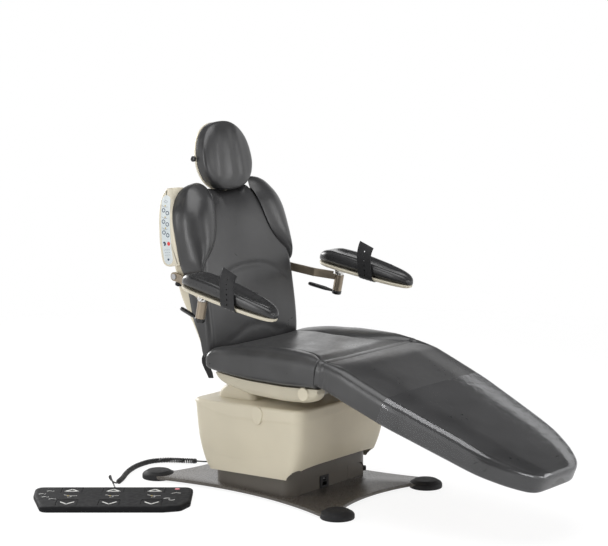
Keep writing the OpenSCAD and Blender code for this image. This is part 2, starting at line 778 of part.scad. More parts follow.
// Lifting housing: a drawn-in skirt, a proud band and a rounded roof, all rising towards the foot end
housing_level_shares = [[0, 1], [0.14, 0.72], [0.35, 0.42], [0.57, 0.22], [1, 0.03]];
function housing_ring(s, out, z) = let (
    f = table(housing_level_shares, s),
    w = housing_w/2 + (housing_foot_w - housing_w)/2*f + out,
    front = housing_front + (housing_foot_front - housing_front)*f + out,
    rear = housing_rear + (housing_foot_rear - housing_rear)*f + out)
    round_box(-w, w, -front, rear, corner_r + out, z, slope_rate);
skirt_h = housing_top - band_h - housing_foot;
band_x = housing_w/2 + (housing_foot_w - housing_w)/2*table(housing_level_shares, 1);
module housing_solid(out, foot, top) {
    skin(concat(
        [for (s = [0, 0.14, 0.35, 0.57, 1]) housing_ring(s, out - band_step, foot + (skirt_h + housing_foot - foot)*s)],
        [housing_ring(1, out, housing_top - band_h),
        housing_ring(1, out, top - 12),
        housing_ring(1, out - 3, top - 4),
        housing_ring(1, out - 10, top)]));
}
module upper_housing() {
    color(beige) difference() {
        union() {
            difference() {
                housing_solid(0, housing_foot, housing_top);
                housing_solid(-housing_wall, housing_foot - 2*housing_wall, housing_top - housing_wall);
            }
            for (x = [-1, 1])
                for (y = [-roof_boss_front, roof_boss_rear])
                    translate([x*roof_boss_x, y, carriage_top])
                        cylinder(d = roof_boss_d,
                            h = housing_top - housing_wall/2 - slope_rate*y - carriage_top, $fn = round_fn);
        }
        front_extrude(-2*housing_front, 4*housing_front) union() {
            translate([-arch_half_w, 0]) square([2*arch_half_w, arch_z - arch_r]);
            translate([-arch_half_w + arch_r, 0]) square([2*(arch_half_w - arch_r), arch_z]);
            for (s = [-1, 1]) translate([s*(arch_half_w - arch_r), arch_z - arch_r])
                circle(r = arch_r, $fn = round_fn);
        }
        for (x = [-lug_x, lug_x])
            translate([x - lug_t/2 - cut, tilt_y - lug_w/2 - cut, carriage_top])
                cube([lug_t + 2*cut, lug_w + 2*cut, housing_top]);
        translate([0, jack_y, carriage_top]) cylinder(d = jack_hole, h = housing_top, $fn = round_fn);
    }
}
module housing_caps() {
    color(beige) both_sides() translate([band_x + rest_gap, side_cap_y, housing_top - slope_rate*side_cap_y
        - band_h/2 + 2*cut]) rotate([0, quarter_turn, 0]) cylinder(d = side_cap_d, h = side_cap_t, $fn = round_fn);
}

// Sloping cover over the tilt hinge
module neck_cover() {
    z0 = housing_top + rest_gap;
    color(beige) difference() {
        neck_solid(0, z0);
        neck_solid(neck_wall, z0 - cut);
        for (x = [-lug_x, lug_x])
            translate([x - lug_t/2 - cut, tilt_y - lug_w/2 - cut, carriage_top])
                cube([lug_t + 2*cut, lug_w + 2*cut, housing_top]);
    }
}
module neck_solid(inset, foot) {
    w = neck_half_w - inset;
    top = neck_top - inset;
    skin([round_box(-w, w, neck_front + inset, neck_rear - inset, neck_draft, foot, slope_rate),
        round_box(-w + neck_draft/2, w - neck_draft/2, neck_front + neck_draft/2 + inset,
            neck_rear - neck_draft - inset, neck_draft, top - neck_draft/2, 0),
        round_box(-w + neck_draft, w - neck_draft, neck_front + neck_draft + inset,
            neck_rear - 2*neck_draft - inset, neck_draft, top, 0)]);
}
module tilt_bracket() {
    color(steel) for (x = [-lug_x, lug_x])
        difference() {
            side_plate(x, lug_t) union() {
                translate([tilt_y - lug_w/2, carriage_top]) square([lug_w, tilt_z - carriage_top]);
                translate([tilt_y, tilt_z]) circle(d = lug_w, $fn = round_fn);
            }
            translate([0, tilt_y, tilt_z]) cross_pin(x - lug_t, x + lug_t, pin_d);
        }
}
module tilt_pins() {
    color(silver) both_sides() translate([0, tilt_y, tilt_z])
        cross_pin(lug_x - lug_t/2, rail_spacing/2 + rail_t/2 + cut, pin_d);
}
// Lifting screw that pushes the front of the seat up
jack_y = -132;
jack_d = 30;
jack_tip_d = 12;
jack_tip_h = 6;
jack_foot = 318;
jack_clear = 1.5;
jack_barrel_d = 44;
jack_barrel_foot = 314;
jack_barrel_top = 388;
jack_hole = 52;
module tilt_jack() {
    color(silver) translate([0, jack_y, 0]) {
        translate([0, 0, jack_foot]) cylinder(d = jack_d, h = jack_stop - jack_tip_h - jack_foot, $fn = round_fn);
        translate([0, 0, jack_stop - jack_tip_h]) cylinder(d1 = jack_d, d2 = jack_tip_d, h = jack_tip_h, $fn = round_fn);
    }
}

// Seat pan: a shallow tray that rises at both ends
seat_run = seat_rear - seat_front;
function pan_foot_z(s) = pan_foot + table(pan_foot_shares, s)*(cushion_foot - pan_foot + pan_end_rise);
pan_end_rise = 40;
function seat_foot_z(y) = cushion_foot + table(cushion_foot_shares, (seat_rear - y)/seat_run)*cushion_rise;
cushion_rise = 130;
function pan_ring(s, inset, lift, top) = let (
    y = pan_rear + (pan_front - pan_rear)*s,
    w = pan_w/2 - inset,
    z0 = pan_foot_z(s) + lift,
    z1 = max(z0 + pan_wall/2, seat_foot_z(y) - rest_gap + top),
    r = min(24, (z1 - z0)*0.48))
    [for (p = round_box(-w, w, z0, z1, r, 0, 0)) [p[0], y, p[1]]];
pan_stations = [0, 0.02, 0.05, 0.19, 0.34, 0.6, 0.84, 0.93, 0.985, 1];
module seat_pan() {
    color(beige) difference() {
        skin([for (s = pan_stations) pan_ring(s, 0, 0, 0)]);
        skin([for (s = [0.03, 0.05, 0.19, 0.34, 0.6, 0.84, 0.93, 0.97]) pan_ring(s, pan_wall, pan_wall, 4*pan_wall)]);
        for (x = [-lug_x, lug_x])
            translate([x - lug_t/2 - 2*cut, tilt_y - lug_w/2 - 4*cut, pan_foot - cut])
                cube([lug_t + 4*cut, lug_w + 8*cut, cushion_foot - pan_foot]);
        for (x = [-1, 1]*rail_spacing/2)
            translate([x - rail_t/2 - cut, tilt_y - 3*pin_d, pan_foot]) cube([rail_t + 2*cut, pan_rear, seat_top]);
        translate([0, jack_y, pan_foot - cut]) cylinder(d = jack_hole, h = board_z - pan_foot, $fn = round_fn);
    }
}
module pivot_covers() {
    color(beige) both_sides() translate([pan_w/2 + rest_gap/2, boss_y, boss_z]) rotate([0, quarter_turn, 0])
        cylinder(d1 = boss_d, d2 = boss_d - boss_t, h = boss_t, $fn = round_fn);
}

// Welded frame of the seat: two rails that carry the tilt, recline and knee pins
rail_foot = pan_foot + 20;
module rail_outline() {
    difference() {
        union() {
            polygon([[tilt_y + pin_d, tilt_z - pin_d], [tilt_y - lug_w, rail_foot], [boss_y + pin_d, rail_foot],
                [boss_y - pin_d, rail_foot + pin_d], [-knee_y + 2*pin_d, board_z + pin_d], [-knee_y - knee_arm_r, knee_z],
                [-knee_y + knee_arm_r, knee_z + knee_arm_r/2], [-knee_y + 4*pin_d, board_z], [tilt_y, board_z],
                [recline_y - knee_boss_r, recline_z + pin_d/4], [recline_y + knee_boss_r*0.9, recline_z - knee_boss_r/2]]);
            translate([recline_y, recline_z]) circle(r = knee_boss_r, $fn = round_fn);
            translate([-knee_y, knee_z]) circle(r = knee_arm_r, $fn = round_fn);
            translate([tilt_y, tilt_z]) circle(r = pin_d, $fn = round_fn);
        }
    }
}
knee_arm_r = 17;
module seat_frame() {
    color(steel) {
        for (x = [-1, 1])
            difference() {
                side_plate(x*rail_spacing/2, rail_t) rail_outline();
                translate([0, tilt_y, tilt_z])
                    cross_pin(x*rail_spacing/2 - rail_t, x*rail_spacing/2 + rail_t, pin_d + 2*fit_gap);
                translate([0, recline_y, recline_z])
                    cross_pin(x*rail_spacing/2 - rail_t, x*rail_spacing/2 + rail_t, pin_d);
                translate([0, -knee_y, knee_z])
                    cross_pin(x*rail_spacing/2 - rail_t, x*rail_spacing/2 + rail_t, pin_d);
            }
        for (y = [boss_y + 2*pin_d, jack_y, -lug_w])
            translate([-rail_spacing/2 + rail_t/2, y - pin_d/2, board_z - pin_d])
                cube([rail_spacing - rail_t, pin_d, pin_d]);
    }
}
jack_stop = board_z - pin_d - jack_clear;
module seat_board() {
    w = pan_w - 4*pan_wall;
    color("burlywood") difference() {
        translate([-w/2, seat_front + 4*pin_d + cut, board_z]) cube([w, tilt_y - seat_front - 4*pin_d - pin_d, board_t - rest_gap]);
    }
}

// Seat cushion: raised soft sides, a dished middle, and a rolled front under the knee
cushion_points = 24;
seat_fall_shares = [[0, 0.95], [0.05, 0.72], [0.14, 0.48], [0.3, 0.2], [0.45, 0.1], [0.6, 0], [0.75, 0], [0.88, 0.05],
    [1, 0.3]];
seat_dish_shares = [[0, 0.1], [0.3, 0.5], [0.6, 1], [0.88, 0.8], [1, 0.2]];
function fade(t) = let (k = min(1, max(0, t))) k*k*(3 - 2*k);
// Section with a round upper edge and a squarer lower one, from a lower to an upper level
function pad_section(w, y, z0, z1, n, dish) = [for (i = [0:n - 1])
    let (a = 360*i/n, up = sin(a) > 0, c = bulge(cos(a), up ? 4.4 : 7), h = bulge(sin(a), up ? 4.4 : 7))
    [w*c, y, (z0 + z1)/2 + h*(z1 - z0)/2 - (up ? dish*(1 - fade((abs(c) - 0.5)/0.4)) : 0)]];
function seat_ring(y, inset) = let (s = (seat_rear - y)/seat_run)
    pad_section(seat_w/2 - inset, y, seat_foot_z(y) + inset,
        seat_top - inset - seat_fall*table(seat_fall_shares, s), cushion_points, seat_dish*table(seat_dish_shares, s));
module seat_cushion() {
    color(charcoal) difference() {
        skin(concat([seat_ring(seat_rear, 10), seat_ring(seat_rear - 6, 3)],
            [for (s = [0.05, 0.14, 0.3, 0.45, 0.6, 0.75, 0.88]) seat_ring(seat_rear - seat_run*s, 0)],
            [seat_ring(seat_front + rest_gap/2, 0)]));
        translate([0, -knee_y, knee_z]) cross_pin(-seat_w, seat_w, 2*knee_r + 2*rest_gap);
        knee_pockets();
        for (x = [-1, 1]*rail_spacing/2) side_plate(x, rail_t + 2*rest_gap) rail_outline();
        for (x = [-1, 1]*knee_arm_x)
            translate([x - rail_t/2 - cut/2, -knee_y - cut, knee_z - 2*knee_r])
                cube([rail_t + cut, knee_slot_fore + cut, 2*knee_r]);
        translate([-recline_arm_x - rail_t, recline_y - 2*knee_boss_r, recline_z - 2*knee_boss_r])
            cube([2*recline_arm_x + 2*rail_t, 3*knee_boss_r, 3*knee_boss_r]);
    }
}
knee_slot_fore = 4;
// Room for the plates and the pins of the knee hinge, inside both cushions
module knee_pockets() {
    for (s = [-1, 1])
        translate([s*(rail_spacing/2 + (knee_pocket_out - knee_pocket_in)/2), -knee_y, knee_z])
            rotate([0, quarter_turn, 0])
            cylinder(r = knee_pocket_r, h = knee_pocket_in + knee_pocket_out, center = true, $fn = round_fn);
}
module seat_pins() {
    color(silver) both_sides() {
        translate([0, -knee_y, knee_z]) cross_pin(rail_spacing/2 - rail_t/2, knee_arm_x + rail_t/2, pin_d);
        translate([0, recline_y, recline_z])
            cross_pin(rail_spacing/2 - rail_t/2, recline_arm_x + rail_t/2, pin_d);
    }
}

// Leg section, drawn level about the knee pin with the foot end at -Y, then let fall
module leg_place() {
    translate([0, -knee_y, knee_z]) rotate([leg_fall, 0, 0]) children();
}
function leg_foot_z(s) = -leg_under + (leg_under - leg_tip_under)*s;
function leg_ring(s, grow, n) = let (
    w = leg_w/2*table(leg_point_shares, s) + grow,
    z0 = leg_foot_z(s) - grow, z1 = leg_crest*table(leg_top_shares, s) + grow,
    pinch = (z1 - z0)/2*table(leg_end_shares, s),
    crown = leg_crown*(s > 0 ? 1 : 0)*(1 - table(leg_end_shares, s)))
    pad_section(w, -leg_l*s - (s > 0.99 ? grow : 0), z0 + pinch, z1 - pinch, n, -crown);
leg_stations = [0, 0.04, 0.09, 0.14, 0.24, 0.36, 0.5, 0.66, 0.78, 0.88, 0.96, 0.985, 0.997, 1];
module leg_cushion() {
    color(charcoal) difference() {
        union() {
            leg_place() skin([for (s = leg_stations) leg_ring(s, 0, cushion_points)]);
            translate([0, -knee_y, knee_z]) cross_pin(-leg_w/2 + 1.3*knee_r, leg_w/2 - 1.3*knee_r, 2*knee_r);
        }
        difference() {
            translate([-leg_w, -knee_y - rest_gap/2, knee_z - leg_l]) cube([2*leg_w, leg_l, 2*leg_l]);
            translate([0, -knee_y, knee_z]) cross_pin(-leg_w/2 + 1.3*knee_r, leg_w/2 - 1.3*knee_r, 2*knee_r);
        }
        knee_pockets();
        for (x = [-1, 1]*rail_spacing/2)
            translate([x - knee_pocket_in, -knee_y - knee_slot_fore, knee_z - knee_r - cut])
                cube([knee_pocket_in + knee_pocket_out, knee_r + knee_slot_fore + cut, knee_r + 2*knee_slot_fore]);
        for (x = [-1, 1]*knee_arm_x)
            leg_place() translate([x - rail_t/2 - cut/2, -leg_board_start - 3*pin_d, -2*leg_under])
                cube([rail_t + cut, leg_board_start + 3*pin_d + knee_boss_r, 2*leg_under]);
    }
}
leg_board_turn = atan((leg_under - leg_tip_under)/leg_l);
module leg_frame() {
    color(steel) leg_place() {
        translate([0, 0, -leg_under - rest_gap]) rotate([-leg_board_turn, 0, 0])
            translate([0, 0, -leg_board_t]) linear_extrude(leg_board_t)
                polygon([[-leg_board_w/2, -leg_board_start], [-leg_board_tip_w/2, -leg_board_end],
                    [leg_board_tip_w/2, -leg_board_end], [leg_board_w/2, -leg_board_start]]);
        for (x = [-1, 1]*knee_arm_x)
            difference() {
                side_plate(x, rail_t) union() {
                    polygon([[-knee_arm_r, 0], [knee_arm_r*0.7, -knee_arm_r*0.7], [-leg_board_start, -leg_under - leg_board_t/2],
                        [-leg_board_start - 2*pin_d, -leg_under - leg_board_t/2], [-leg_board_start - 2*pin_d, pin_d - leg_under]]);
                    circle(r = knee_arm_r, $fn = round_fn);
                }
                cross_pin(x - rail_t, x + rail_t, pin_d + 2*fit_gap);
            }
    }
}
// Clear sheet drawn over the foot end of the leg cushion
cover_stations = [0.36, 0.5, 0.66, 0.78, 0.88, 0.96, 0.985, 0.997, 1];
module foot_cover() {
    color([0.8, 0.85, 0.9, 0.5]) leg_place() difference() {
        skin(concat([leg_ring(cover_start/leg_l, cover_t + rest_gap, cushion_points)],
            [for (s = cover_stations) leg_ring(s, cover_t + rest_gap, cushion_points)]));
        skin([for (s = leg_stations) leg_ring(s, rest_gap, cushion_points)]);
        translate([-leg_w, -2*leg_l, -leg_l - leg_tip_under*0.9]) cube([2*leg_w, 2*leg_l, leg_l]);
    }
}

// Back, drawn upright about the recline pin and then leant back
module back_place() {
    translate([0, recline_y, recline_z]) rotate([-back_lean, 0, 0]) children();
}
module back_frame() {
    color(steel) back_place() difference() {
        union() {
            for (s = [-1, 1]) {
                side_plate(s*recline_arm_x, frame_bar_t) union() {
                    circle(r = knee_boss_r, $fn = round_fn);
                    polygon([[-knee_boss_r*0.7, knee_boss_r*0.7], [knee_boss_r*0.9, -knee_boss_r*0.4],
                        [back_plane + cut + frame_bar_w/4, shell_foot],
                        [back_plane + cut + frame_bar_w, shell_foot + shell_run/5],
                        [back_plane + cut + frame_bar_w, back_l - 2*pin_d],
                        [back_plane + cut, back_l - 2*pin_d], [back_plane + cut, shell_foot]]);
                    translate([back_plane + cut, arm_pivot_up - frame_bar_w/2]) square([arm_pivot_back, frame_bar_w]);
                }
                translate([s*(recline_arm_x - frame_bar_t/2), arm_pivot_back, arm_pivot_up])
                    rotate([0, s*quarter_turn, 0]) cylinder(d = pivot_hub_d, h = hub_reach, $fn = round_fn);
                translate([0, arm_pivot_back, arm_pivot_up]) rotate([0, s*quarter_turn, 0]) {
                    cylinder(d = pivot_d, h = arm_bar_x + arm_bar_t/2 + cut, $fn = round_fn);
                    translate([0, 0, arm_bar_x + arm_bar_t/2 + rest_gap])
                        cylinder(d = pivot_head_d, h = pivot_head_t, $fn = round_fn);
                }
                translate([s*headrest_bar_spacing/2, headrest_bar_y, headrest_bar_foot - pin_d])
                    cylinder(d = headrest_bar_d + 2*bar_tube_wall, h = back_l - 2*rest_gap - headrest_bar_foot + pin_d,
                        $fn = round_fn);
            }
            for (z = [shell_foot + 3*pin_d, headrest_bar_foot - pin_d, back_l - 4*pin_d])
                translate([-recline_arm_x, back_plane + cut, z]) cube([2*recline_arm_x, frame_bar_t, frame_bar_w]);
        }
        cross_pin(-back_w, back_w, pin_d + 2*fit_gap);
        for (s = [-1, 1])
            translate([s*headrest_bar_spacing/2, headrest_bar_y, headrest_bar_foot - 2*pin_d])
                cylinder(d = headrest_bar_d + 2*fit_gap, h = back_l, $fn = round_fn);
    }
}
pivot_d = 16;
pivot_hub_d = 26;
pivot_head_d = 22;
pivot_head_t = 2.5;
hub_reach = back_w*0.49 - recline_arm_x - shell_wall;
headrest_bar_y = back_plane + cut + headrest_bar_d/2 + bar_tube_wall;

// Moulded shell behind the back cushion
shell_run = shell_top - shell_foot;
function shell_ring(s, inset, fore) = let (
    w = back_w/2*table(shell_width_shares, s) - inset,
    y1 = back_plane + shell_depth*table(shell_depth_shares, s) - inset,
    y0 = back_plane + rest_gap - fore)
    round_box(-w, w, y0, y1, min(26, (y1 - y0)*0.45), shell_foot + shell_run*s, 0);
shell_stations = [0, 0.06, 0.2, 0.4, 0.5, 0.56, 0.78, 0.9, 0.96, 1];
module back_shell() {
    color(beige) back_place() difference() {
        skin([for (s = shell_stations) shell_ring(s, 0, 0)]);
        skin([for (s = [0.008, 0.06, 0.2, 0.4, 0.5, 0.56, 0.78, 0.9, 0.96, 0.992]) shell_ring(s, shell_wall, 3*shell_wall)]);
        translate([-headrest_notch, -back_w, back_l]) cube([2*headrest_notch, 2*back_w, back_w]);
        translate([0, arm_pivot_back, arm_pivot_up]) cross_pin(-back_w, back_w, pivot_d + 2*cut);
        for (s = [-1, 1])
            translate([s*recline_arm_x - frame_bar_t/2 - cut, 0, 0]) cube([frame_bar_t + 2*cut, back_w, shell_foot + pin_d]);
    }
}

// Back cushion: a lumbar swell, a flat middle and two side bolsters sewn on
back_run = back_l - back_foot;
function back_ring(s, inset) = let (
    w = back_w/2*table(back_width_shares, s) - inset,
    y0 = back_plane - lumbar_depth*table(back_front_shares, s) + inset, y1 = back_plane)
    [for (p = oval([0, (y0 + y1)/2, back_foot + back_run*s], [w, 0, 0], [0, (y1 - y0)/2, 0], 4, cushion_points)) p];
bolster_shares = [[0, 0.16], [0.08, 0.5], [0.2, 0.76], [0.36, 0.95], [0.56, 1], [0.75, 0.93], [0.88, 0.74],
    [0.96, 0.48], [1, 0.16]];
bolster_half_w = 70;
bolster_half_t = 46;
bolster_points = 16;
function bolster_ring(s) = let (
    k = table(bolster_shares, s), top = max(0, s - 0.6),
    x = bolster_w/2 - bolster_half_w - 70*top, y = -16 + 36*s)
    oval([x, y, bolster_foot + (bolster_top - bolster_foot)*s], [bolster_half_w*k, 0, 0], [0, bolster_half_t*k, 0],
        2.6, bolster_points);
module back_cushion() {
    color(charcoal) back_place() difference() {
        union() {
            skin([for (s = [0, 0.04, 0.16, 0.29, 0.53, 0.7, 0.85, 0.95, 0.985, 1]) back_ring(s, 0)]);
            both_sides() skin([for (s = [0, 0.08, 0.2, 0.36, 0.56, 0.75, 0.88, 0.96, 1]) bolster_ring(s)]);
        }
        skin([for (s = shell_stations) shell_ring(s, -rest_gap, 0)]);
        translate([-panel_x - panel_t_out - rest_gap, panel_front - rest_gap, 0])
            cube([panel_t_out + panel_clear, 4*panel_d, 2*back_l]);
        for (s = [-1, 1])
            translate([s*recline_arm_x - frame_bar_t/2 - cut, -2*knee_boss_r, -cut]) cube([frame_bar_t + 2*cut, 4*knee_boss_r, shell_foot + 2*cut]);
    }
}
panel_x = back_w/2*shell_swell + rest_gap;
panel_clear = 6;

// Housing and face of the control panel on the back's left side
panel_corner_r = 24;
panel_shares = [[0, 1], [0.66, 0.8], [0.95, 0.42]];
module panel_outline(inset) {
    r = panel_corner_r - inset;
    intersection() {
        hull() {
            for (q = panel_shares)
                translate([panel_foot + panel_corner_r + q[0]*(panel_l - 2*panel_corner_r),
                    panel_front + panel_d*q[1] - panel_corner_r]) circle(r = r, $fn = hull_fn);
            for (s = [panel_foot, panel_foot + panel_l - panel_corner_r/2])
                translate([s + (s > panel_foot ? -panel_corner_r/2 : panel_corner_r), panel_front + panel_corner_r/2 + inset])
                    square([panel_corner_r - inset, panel_corner_r], center = true);
        }
        translate([panel_foot - cut, panel_front + inset]) square(2*panel_l);
    }
}
module panel_place(t) {
    back_place() translate([-panel_x, 0, 0]) rotate([0, -quarter_turn, 0]) linear_extrude(t) children();
}
module panel_housing() {
    color(beige) panel_place(panel_t_out) panel_outline(0);
}
panel_face_r = 22;
module panel_face() {
    color([0.8, 0.82, 0.83]) translate([0, 0, 0]) back_place() translate([-panel_x - panel_t_out, 0, 0])
        rotate([0, -quarter_turn, 0]) linear_extrude(cut) hull()
            for (q = [[0.03, 0.94], [0.6, 0.8], [0.86, 0.6]])
                translate([panel_foot + panel_corner_r + q[0]*(panel_l - 2*panel_corner_r),
                    panel_front + panel_d*q[1] - panel_corner_r - 5]) circle(r = panel_face_r, $fn = hull_fn);
}

// Headrest on two bars, with a knob that locks its tilt
module headrest_place() {
    back_place() translate([0, headrest_mid_back, headrest_mid_up]) children();
}
headrest_shares = [[0, 0.5], [0.04, 0.72], [0.14, 0.9], [0.34, 1], [0.6, 0.97], [0.8, 0.87], [0.93, 0.68],
    [0.98, 0.5], [1, 0.34]];
function headrest_ring(s, y0, y1, inset) = let (
    w = headrest_w/2*table(headrest_shares, s) - inset, t = table(headrest_depth_shares, s))
    oval([0, y1 + (y0 - y1)*t/2, headrest_h*(0.5 - s)*-1], [w, 0, 0], [0, (y1 - y0)*t/2, 0], 3, 20);
headrest_depth_shares = [[0, 0.4], [0.04, 0.66], [0.14, 0.9], [0.34, 1], [0.7, 1], [0.9, 0.84], [0.98, 0.56], [1, 0.3]];
headrest_stations = [0, 0.04, 0.14, 0.34, 0.6, 0.8, 0.93, 0.98, 1];
module headrest_cushion() {
    color(charcoal) headrest_place() difference() {
        skin([for (s = headrest_stations) headrest_ring(s, -headrest_t, rest_gap, 0)]);
        translate([-headrest_w, 0, -headrest_h]) cube([2*headrest_w, headrest_t, 2*headrest_h]);
    }
}
module headrest_shell() {
    color(beige) headrest_place() difference() {
        mirror([0, 1, 0]) skin([for (s = headrest_stations) headrest_ring(s, -headrest_shell_t, 8, 1.5)]);
        translate([-headrest_w, -headrest_t, -headrest_h]) cube([2*headrest_w, headrest_t + rest_gap, 2*headrest_h]);
        for (x = [-1, 1]*headrest_bar_spacing/2)
            translate([x - headrest_bar_d, -cut, -headrest_h])
                cube([2*headrest_bar_d, 2*headrest_shell_t, headrest_h + headrest_axle_z + headrest_pocket_up]);
        translate([0, headrest_axle_y, headrest_axle_z])
            cross_pin(-headrest_axle_l/2 - cut, headrest_axle_l/2 + cut, axle_d + 2*fit_gap);
        translate([0, lock_y, 0]) cross_pin(-headrest_w, -headrest_w*0.44, lock_pin_d + 2*fit_gap);
    }
}
headrest_pocket_up = 14;
headrest_axle_z = 12;
headrest_axle_y = headrest_bar_y - headrest_mid_back;
headrest_axle_l = headrest_bar_spacing + 42;
axle_d = 8;
lock_y = 5;
lock_pin_d = 5;
lock_x = headrest_w/2 + 1;
lock_d = 22;
lock_t = 12;
module headrest_bars() {
    color(silver) back_place() {
        for (s = [-1, 1])
            translate([s*headrest_bar_spacing/2, headrest_bar_y, headrest_bar_foot])
                cylinder(d = headrest_bar_d, h = headrest_mid_up + headrest_axle_z + axle_d - headrest_bar_foot,
                    $fn = round_fn);
        translate([0, headrest_bar_y, headrest_mid_up + headrest_axle_z])
            cross_pin(-headrest_axle_l/2, headrest_axle_l/2, axle_d);
    }
}
module headrest_knob() {
    color(rubber) headrest_place() translate([0, lock_y, 0]) {
        cross_pin(-lock_x - lock_t, -lock_x, lock_d);
        cross_pin(-lock_x - cut, -headrest_w*0.45, lock_pin_d);
    }
}

// Arms: everything is drawn for the right side, level, and then let fall about the pivot on the back
module arm_place(side) {
    back_place() translate([side*arm_bar_x, arm_pivot_back, arm_pivot_up])
        rotate([back_lean + arm_fall, 0, 0]) mirror([side < 0 ? 1 : 0, 0, 0]) children();
}
module bar_run(a, b) {
    d = b - a;
    translate([a[0], a[1], 0]) rotate([0, 0, atan2(d[1], d[0])]) translate([0, -arm_bar_t/2, -arm_bar_h/2])
        cube([norm(d), arm_bar_t, arm_bar_h]);
}
module bar_bend(p) {
    translate([p[0], p[1], -arm_bar_h/2 - rest_gap])
        cylinder(d = arm_bar_t + 2*rest_gap, h = arm_bar_h + 2*rest_gap, $fn = round_fn);
}
tube_x = arm_spread;
tube_y = -arm_reach;
arm_knob_y = -26;
module arm_bar(side) {
    color(bronze) arm_place(side) difference() {
        union() {
            rotate([0, quarter_turn, 0]) cylinder(d = arm_bar_h + 2*cut, h = arm_bar_t, center = true, $fn = round_fn);
            bar_run([0, 0], [0, -arm_bar_h]);
            bar_bend([0, -arm_bar_h]);
            bar_run([0, -arm_bar_h], [bar_bend_x, bar_bend_y]);
            bar_bend([bar_bend_x, bar_bend_y]);
            bar_run([bar_bend_x, bar_bend_y], [tube_x, tube_y]);
            translate([tube_x, tube_y, tube_foot]) cylinder(d = clamp_d, h = tube_top - tube_foot, $fn = round_fn);
        }
        cross_pin(-arm_bar_h, arm_bar_h, pivot_d + 2*fit_gap);
        translate([0, arm_knob_y, -arm_bar_h]) cylinder(d = knob_pin_d + 2*fit_gap, h = arm_bar_h, $fn = round_fn);
        translate([tube_x, tube_y, tube_foot - cut])
            cylinder(d = post_d + 2*fit_gap, h = tube_top - tube_foot + arm_bar_h, $fn = round_fn);
        translate([tube_x, tube_y, tube_top]) cylinder(d = knuckle_sweep_d, h = arm_bar_h, $fn = round_fn);
    }
}
// Room over the tube for the turning knuckle and the ears of the tray
knuckle_sweep_d = norm([knuckle_l + 2*ear_t + 4*cut, knuckle_d]) + 2*cut;
module arm_knob(side) {
    color(rubber) arm_place(side) translate([0, arm_knob_y, -arm_bar_h/2]) {
        translate([0, 0, -knob_t - 2*cut]) cylinder(d1 = knob_d*0.8, d2 = knob_d, h = knob_t, $fn = round_fn);
        translate([0, 0, -3*cut]) cylinder(d = knob_pin_d, h = arm_bar_h/2, $fn = round_fn);
    }
}
module arm_lever(side) {
    color(rubber) arm_place(side) translate([tube_x, tube_y, tube_foot - rest_gap]) {
        translate([0, 0, -collar_h]) cylinder(d = clamp_d + 2, h = collar_h, $fn = round_fn);
        cylinder(d = post_d, h = spigot_h, $fn = round_fn);
        rotate([0, 0, lever_inward]) translate([0, clamp_d/2 - 2, -collar_h/2])
            rotate([-quarter_turn + lever_rise, 0, 0]) {
            cylinder(d1 = lever_d*0.6, d2 = lever_d, h = lever_l*0.3, $fn = round_fn);
            translate([0, 0, lever_l*0.3]) cylinder(d = lever_d, h = lever_l*0.7 - lever_d/2, $fn = round_fn);
            translate([0, 0, lever_l - lever_d/2]) sphere(d = lever_d, $fn = round_fn);
        }
    }
}
lever_rise = 0;
spigot_h = 12;
module arm_post(side) {
    color(silver) arm_place(side) translate([tube_x, tube_y, 0]) difference() {
        union() {
            translate([0, 0, tube_foot + spigot_h + cut])
                cylinder(d = post_d, h = post_top - tube_foot - spigot_h - cut, $fn = round_fn);
            translate([0, 0, post_top]) cross_pin(-knuckle_l/2, knuckle_l/2, knuckle_d);
        }
        translate([0, 0, post_top]) cross_pin(-post_d, post_d, ear_pin_d + 2*fit_gap);
    }
}
tray_z = post_top + knuckle_d/2 + 4;
function pad_tilt(side) = side < 0 ? left_pad_tilt : right_pad_tilt;
module pad_place(side) {
    arm_place(side) translate([tube_x, tube_y, post_top]) rotate([-pad_tilt(side), 0, 0])
        translate([0, 0, -post_top]) children();
}
pad_width_shares = [[0, 0.3], [0.02, 0.52], [0.07, 0.8], [0.16, 0.96], [0.35, 1], [0.6, 0.94], [0.8, 0.8],
    [0.92, 0.6], [0.98, 0.38], [1, 0.2]];
pad_depth_shares = [[0, 0.3], [0.02, 0.5], [0.07, 0.78], [0.16, 0.96], [0.35, 1], [0.6, 0.9], [0.8, 0.76],
    [0.92, 0.6], [0.98, 0.4], [1, 0.24]];
pad_stations = [0, 0.02, 0.07, 0.16, 0.35, 0.6, 0.8, 0.92, 0.98, 1];
pad_points = 18;
trough = 9;
function pad_ring(s, grow) = let (
    w = pad_w/2*table(pad_width_shares, s) + grow, t = pad_t*table(pad_depth_shares, s) + grow,
    y = pad_rear - pad_l*s, z0 = tray_z + tray_t)
    [for (p = oval([0, 0, 0], [w, 0, 0], [0, 0, 1], 2.7, pad_points))
        let (k = p[0]/w, dip = p[2] > 0 ? trough*pow(1 - k*k, 2)*min(1, 3*s*(1 - s)*2) : 0)
        [p[0], y, z0 + t*(p[2] + 1)/2 - dip]];
module arm_pad(side) {
    color(charcoal) pad_place(side) difference() {
        skin([for (s = pad_stations) pad_ring(s, 0)]);
        translate([-pad_w, -pad_l, tray_z - pad_t]) cube([2*pad_w, 2*pad_l, pad_t + tray_t + rest_gap]);
    }
}
tray_inset = 4;
